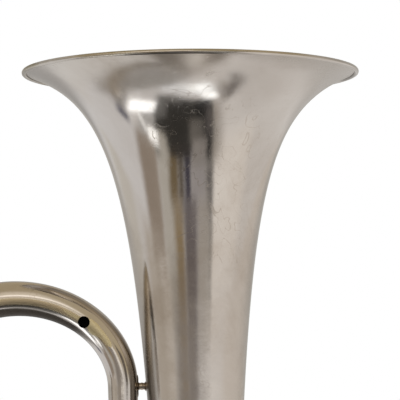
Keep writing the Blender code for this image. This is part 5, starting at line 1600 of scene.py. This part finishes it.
world = bpy.data.worlds.new("studio")
bpy.context.scene.world = world
world.use_nodes = True
sky = world.node_tree
sky.nodes.clear()
rays = add_node(sky, "LightPath").outputs
looked_at = maths(sky, "ADD", rays["Is Camera Ray"], rays["Is Glossy Ray"])
strength = ranged(sky, maths(sky, "ADD", looked_at, rays["Is Transmission Ray"]), (0, 1), (WORLD_LIGHT, 1))
backdrop = add_node(sky, "Background", {"Color": (1, 1, 1, 1), "Strength": strength})
add_node(sky, "OutputWorld", {"Surface": backdrop.outputs[0]})
lamp("key_lamp", (-1.3, -1.7, 2.3), size=1.0, power=26)
lamp("fill_lamp", (1.9, -0.9, 1.7), size=1.2, power=14)
print("studio ready")


# %% [markdown]
# ## The room that mirrors see
# Polished metal shows what is around it. In a plain white studio the plate would look like flat grey paint,
# so a painted room stands round the horn: a floor, a round wall and a ceiling in one sheet. A picture of a
# real room could be wrapped round instead, but soft patches with names are easier to move. The room is
# seen in reflections only. Its floor is painted by the angle from the front and by the logarithm of the
# distance, because a flare mirrors the near floor large and the far floor small.

# %% Patches of light and shade
# Floor patches: degrees from the front, metres from the bell's axis, slant and bend of the edges across,
# how soft the edges are along both, and the light that comes from the patch.
FLOOR_PATCHES = {
    "back_left": ((-210, -150), (1.6, 9), 0, 0, (10, 0.15), (0.44, 0.43, 0.42)),
    "back_ring": ((-172, -136), (0.38, 1.6), 0, 0, (8, 0.15), (0.86, 0.85, 0.84)),
    "back_right": ((150, 210), (0.45, 9), 0, 0, (10, 0.15), (0.62, 0.60, 0.58)),
    "right_shade": ((70, 150), (0.28, 0.75), 0, 0, (14, 0.3), (0.80, 0.775, 0.76)),
    "right_glow": ((24, 86), (0.9, 4.0), 0, 0, (10, 0.3), (1.04, 1.005, 0.975)),
    "far_right": ((65, 150), (4.6, 9), 0, 0, (12, 0.12), (0.83, 0.78, 0.73)),
    "side_left": ((-140, -105), (2.8, 9), 0, 0, (12, 0.15), (0.76, 0.74, 0.70)),
    "near_floor": ((-62, 48), (0.13, 0.275), 0, 0, (12, 0.10), (1.22, 1.28, 1.36)),
    "near_light": ((-8, 44), (0.14, 0.235), 0, 0, (9, 0.10), (2.0, 2.1, 2.2)),
    "right_turn": ((46, 84), (0.19, 0.36), -0.5, 0, (5, 0.1), (0.50, 0.47, 0.45)),
    "right_ring": ((54, 122), (0.235, 0.33), -0.21, 0, (9, 0.12), (0.22, 0.20, 0.19)),
    "left_ring": ((-170, -100), (0.10, 0.33), 0, 0, (8, 0.2), (0.48, 0.47, 0.47)),
    "near_left": ((-125, -42), (0.0005, 0.39), -0.88, 0, (10, 0.12), (0.44, 0.43, 0.42)),
    "behind_left": ((-220, -170), (0.04, 0.42), 0, 0, (3, 0.15), (2.4, 2.4, 2.4)),
    "behind_right": ((164, 220), (0.04, 0.42), 0, 0, (3, 0.15), (2.4, 2.4, 2.4)),
    "left_shade": ((-133, -104), (0.42, 0.72), -0.1, 0, (8, 0.2), (0.47, 0.44, 0.41)),
    "brown_stripe": ((-79, -50), (0.95, 4.2), 0, 0, (6, 0.2), (0.40, 0.34, 0.29)),
    "light_stripe": ((-50, -29), (0.95, 3.8), 0, 0, (4, 0.2), (0.62, 0.60, 0.56)),
    "gold_stripe": ((-35, -20), (0.95, 2.0), 0, 0, (5, 0.2), (0.20, 0.15, 0.085)),
    "brown_gap": ((-21, -12), (0.95, 2.0), 0, 0, (4, 0.2), (0.13, 0.11, 0.09)),
    "navy_stripe": ((-12, 0), (0.95, 2.0), 0, 0, (4, 0.2), (0.055, 0.052, 0.08)),
    "grey_stripe": ((-1, 22), (0.95, 3.8), 0, 0, (4, 0.2), (0.43, 0.41, 0.42)),
    "edge_stripe": ((21, 33), (1.15, 2.3), 0, 0, (4, 0.15), (0.20, 0.19, 0.19)),
    "haze": ((-74, -46), (0.55, 0.95), 0, 0, (5, 0.1), (0.55, 0.55, 0.55)),
    "far_gold": ((-31, -15), (1.9, 3.8), 0, 0, (5, 0.2), (0.34, 0.255, 0.145)),
    "far_navy": ((-14, 6), (1.8, 3.8), 0, 0, (4, 0.2), (0.17, 0.15, 0.16)),
    "far_grey": ((9, 28), (1.8, 3.8), 0, 0, (4, 0.2), (0.54, 0.51, 0.48)),
    "left_glow": ((-100, -74), (0.50, 0.85), 0, 0, (8, 0.2), (1.03, 1.03, 1.04)),
    "far_left": ((-95, -42), (3.3, 9), 0, 0, (10, 0.25), (0.62, 0.57, 0.51)),
    "far_glint": ((-66, -43), (3.35, 4.4), 0, 0, (6, 0.08), (0.80, 0.76, 0.72)),
    "far_edge": ((27, 35), (2.2, 3.5), 0, 0, (3, 0.10), (0.42, 0.40, 0.38)),
    "far_dark": ((-42, 6), (3.3, 9), 0, 0, (10, 0.25), (0.33, 0.30, 0.28)),
    "rug_shade": ((20, 42), (0.30, 1.20), 0, 0, (9, 0.15), (0.52, 0.49, 0.46)),
    "rug": ((-51, 30), (0.335, 1.04), 0, 0.20, (5, 0.10), (0.03, 0.03, 0.03)),
    "rug_top": ((5, 30), (0.345, 0.50), 0, 0, (4, 0.05), (0.03, 0.03, 0.03)),
    "rug_left": ((-54, -36), (0.34, 0.62), 0, 0, (6, 0.08), (0.17, 0.17, 0.17)),
    "rug_foot": ((-31, -2), (0.95, 1.13), 0, 0, (4, 0.08), (0.03, 0.027, 0.027)),
    "rug_fold": ((-3, 17), (0.60, 0.92), 0, 0, (5, 0.12), (0.18, 0.17, 0.16)),
    "fold_foot": ((1, 21), (0.87, 1.2), 0, 0, (4, 0.08), (0.36, 0.34, 0.33)),
    "rug_haze": ((-42, -17), (0.31, 0.40), 0, 0, (8, 0.07), (0.21, 0.21, 0.21)),
    "rug_corner": ((-48, -35), (0.84, 1.2), 0.3, 0, (5, 0.1), (0.60, 0.58, 0.54)),
    "rug_side": ((20, 28), (0.45, 0.8), 0, 0, (3, 0.15), (0.13, 0.12, 0.12)),
    "left_jamb": ((-115, -92), (0.45, 0.78), 0.67, 0, (4, 0.10), (0.38, 0.37, 0.37)),
    "left_window": ((-87, -52), (0.505, 0.665), -0.33, 0, (4, 0.06), (2.5, 2.6, 2.75)),
    "window_edge": ((-76, -63), (0.74, 0.82), 1.0, 0, (2, 0.05), (1.5, 1.55, 1.6)),
    "small_window": ((-61, -47), (0.83, 1.02), 0.1, 0, (3, 0.06), (1.9, 1.95, 2.0)),
    "near_window": ((19, 43), (0.26, 0.345), 0.1, 0, (3, 0.06), (2.3, 2.4, 2.5)),
    "left_spot": ((-103, -87), (0.80, 0.94), 0.2, 0, (4, 0.06), (0.20, 0.20, 0.25)),
}
# Wall patches: degrees from the front, heights, soft edges along both and the light.
WALL_PATCHES = {
    "left_door": ((-103, -88), (0.5, 1.5), (3, 0.1), (0.30, 0.27, 0.24)),
    "panels": ((-62, -19), (0.5, 1.6), (5, 0.1), (0.36, 0.32, 0.27)),
    "front_light": ((-14, 10), (0.5, 1.3), (4, 0.1), (1.30, 1.27, 1.22)),
    "post": ((23, 41), (0.5, 1.9), (3, 0.1), (0.16, 0.14, 0.12)),
    "high_glow": ((-60, 7), (2.0, 4.6), (6, 2.4), (1.15, 1.06, 0.92)),
    "high_window": ((-60, 5), (1.55, 2.5), (6, 0.25), (1.75, 1.66, 1.56)),
    "under_window": ((-60, 22), (0.9, 1.25), (8, 0.12), (0.60, 0.52, 0.40)),
}
print("patches:", len(FLOOR_PATCHES), "on the floor and", len(WALL_PATCHES), "on the wall")


# %% [markdown]
# ## A sheet that glows
# The colours of the room are written on the points of one sheet, and an emission shader gives them off as
# light. The sheet is hidden from the camera and from all light that isn't mirrored, so that it changes
# neither the backdrop nor the shadows.

# %% Glowing sheet
def only_mirrors(thing):
    """Hides a thing from the camera and from everything but reflections."""
    thing.visible_camera = False
    thing.visible_diffuse = False
    thing.visible_shadow = False
    thing.visible_transmission = False
    thing.visible_volume_scatter = False


def painted(colour, share, tint):
    """The old colour where share is 0 and the new one where it is 1."""
    return colour * (1 - share[..., None]) + np.array(tint) * share[..., None]


def glowing(name, spots, colour):
    """A ring-shaped sheet of the studio that gives off the colour of its own points."""
    finish = bpy.data.materials.new(name)
    finish.use_nodes = True
    tree = finish.node_tree
    tree.nodes.clear()
    paint = add_node(tree, "Attribute", attribute_name="paint").outputs
    shine = add_node(tree, "Emission", {"Color": paint["Color"], "Strength": 1.0}).outputs[0]
    add_node(tree, "OutputMaterial", {"Surface": shine})
    rows, columns, _ = spots.shape
    thing = stage_mesh(name, spots.reshape(-1, 3), grid_faces(rows, columns, False).tolist(), finish)
    light = np.dstack([colour, np.ones((rows, columns))]).astype(np.float32)
    thing.data.attributes.new("paint", "FLOAT_COLOR", "POINT").data.foreach_set("color", light.ravel())
    only_mirrors(thing)
    return thing


print("sheet helpers ready")


# %% [markdown]
# ## Painting the room
# The sheet is a grid: rows run out along the floor, up the wall and in along the ceiling, and columns run
# round the bell's axis. Each patch is laid over those before it.

# %% Painted room
WALL = 5.0  # distance of the wall from the bell's axis
CEILING = 9.0
NEAREST = 0.10  # where the painted floor starts, under the bell
ROOM_LIFT = 0.004  # how far the painted floor lies above the real one
WALL_FOOT, ROOM_MIDDLE, ROOF_MIDDLE = 0.1, 0.001, 0.01  # first row of the wall, floor's and roof's innermost
FLOOR_ROWS, WALL_ROWS, ROOF_ROWS, ROOM_SIDES = 110, 70, 16, 360
LEFT_FLOOR = (0.86, 0.86, 0.88)
RIGHT_FLOOR = (0.88, 0.86, 0.85)
OVERHEAD = (0.60, 0.515, 0.37)
BEHIND = (0.52, 0.50, 0.47)
MIDDLE_BLEND = 20  # degrees to both sides of the front over which the two floor tones meet
FRONT_WALL, BACK_WALL, ROOF = (0.5, 1.3), (0.1, 0.6), (3, 8)  # heights between which each tone sets in
SIDE_TURN = (70, 130)  # degrees between which the front wall turns into the back wall
SLANT_TURN = 45  # degrees for which slant and bend are given

floor_rows = np.geomspace(NEAREST, WALL, FLOOR_ROWS)
wall_rows = np.geomspace(WALL_FOOT, CEILING, WALL_ROWS)
roof_rows = np.linspace(WALL, ROOF_MIDDLE, ROOF_ROWS)[1:]
room_reach = np.concatenate([[ROOM_MIDDLE], floor_rows, np.full(len(wall_rows), WALL), roof_rows])
on_floor, on_roof = np.full(len(floor_rows) + 1, ROOM_LIFT), np.full(len(roof_rows), CEILING)
room_height = np.concatenate([on_floor, wall_rows, on_roof])
room_turn = np.linspace(-180, 180, ROOM_SIDES + 1)[:-1]
angle = np.radians(room_turn)
spokes = np.column_stack([np.sin(angle), -np.cos(angle), 0 * angle])
spots = BELL_FOOT + room_reach[:, None, None] * spokes + room_height[:, None, None] * AXIS_Z
measures = (room_turn[None, :], np.log(room_reach)[:, None], room_height[:, None])
turns, log_reach, level = np.broadcast_arrays(*measures)
aside = np.abs(turns)
colour = np.broadcast_to(LEFT_FLOOR, (*turns.shape, 3))
colour = painted(colour, step(turns, -MIDDLE_BLEND, MIDDLE_BLEND), RIGHT_FLOOR)
for bounds, reaches, slant, bend, soft, tint in FLOOR_PATCHES.values():
    across = (turns - sum(bounds) / 2) / SLANT_TURN
    edge = log_reach - slant * across - bend * across**2
    colour = painted(colour, within(turns, bounds, soft[0]) * within(edge, np.log(reaches), soft[1]), tint)
at_front = step(-aside, -SIDE_TURN[1], -SIDE_TURN[0])
colour = painted(colour, step(level, *FRONT_WALL) * at_front, OVERHEAD)
colour = painted(colour, step(level, *BACK_WALL) * step(aside, *SIDE_TURN), BEHIND)
colour = painted(colour, step(level, *ROOF), OVERHEAD)
for bounds, levels, soft, tint in WALL_PATCHES.values():
    colour = painted(colour, within(turns, bounds, soft[0]) * within(level, levels, soft[1]), tint)
room = glowing("room", spots, colour)
print("room painted on", len(room.data.vertices), "points")


# %% [markdown]
# ## What mirrors leave out
# Valves and slides would show as busy dark shapes low on the bell. Most pieces are therefore left out of
# reflections, and only the large ones near the bell stay in them: the bow and its brace show in the
# bell's side, and the flare mirrors the bell's own stem.

# %% What mirrors leave out
MIRRORED = ("bell", "bell_rim_wire", "top_bow", "bell_brace_upper", "inner_branch")
for solid in BODY_OF:
    if solid not in MIRRORED:
        bpy.data.objects["smooth_" + solid].visible_glossy = False
print("mirrors show", len(MIRRORED), "pieces of the horn")
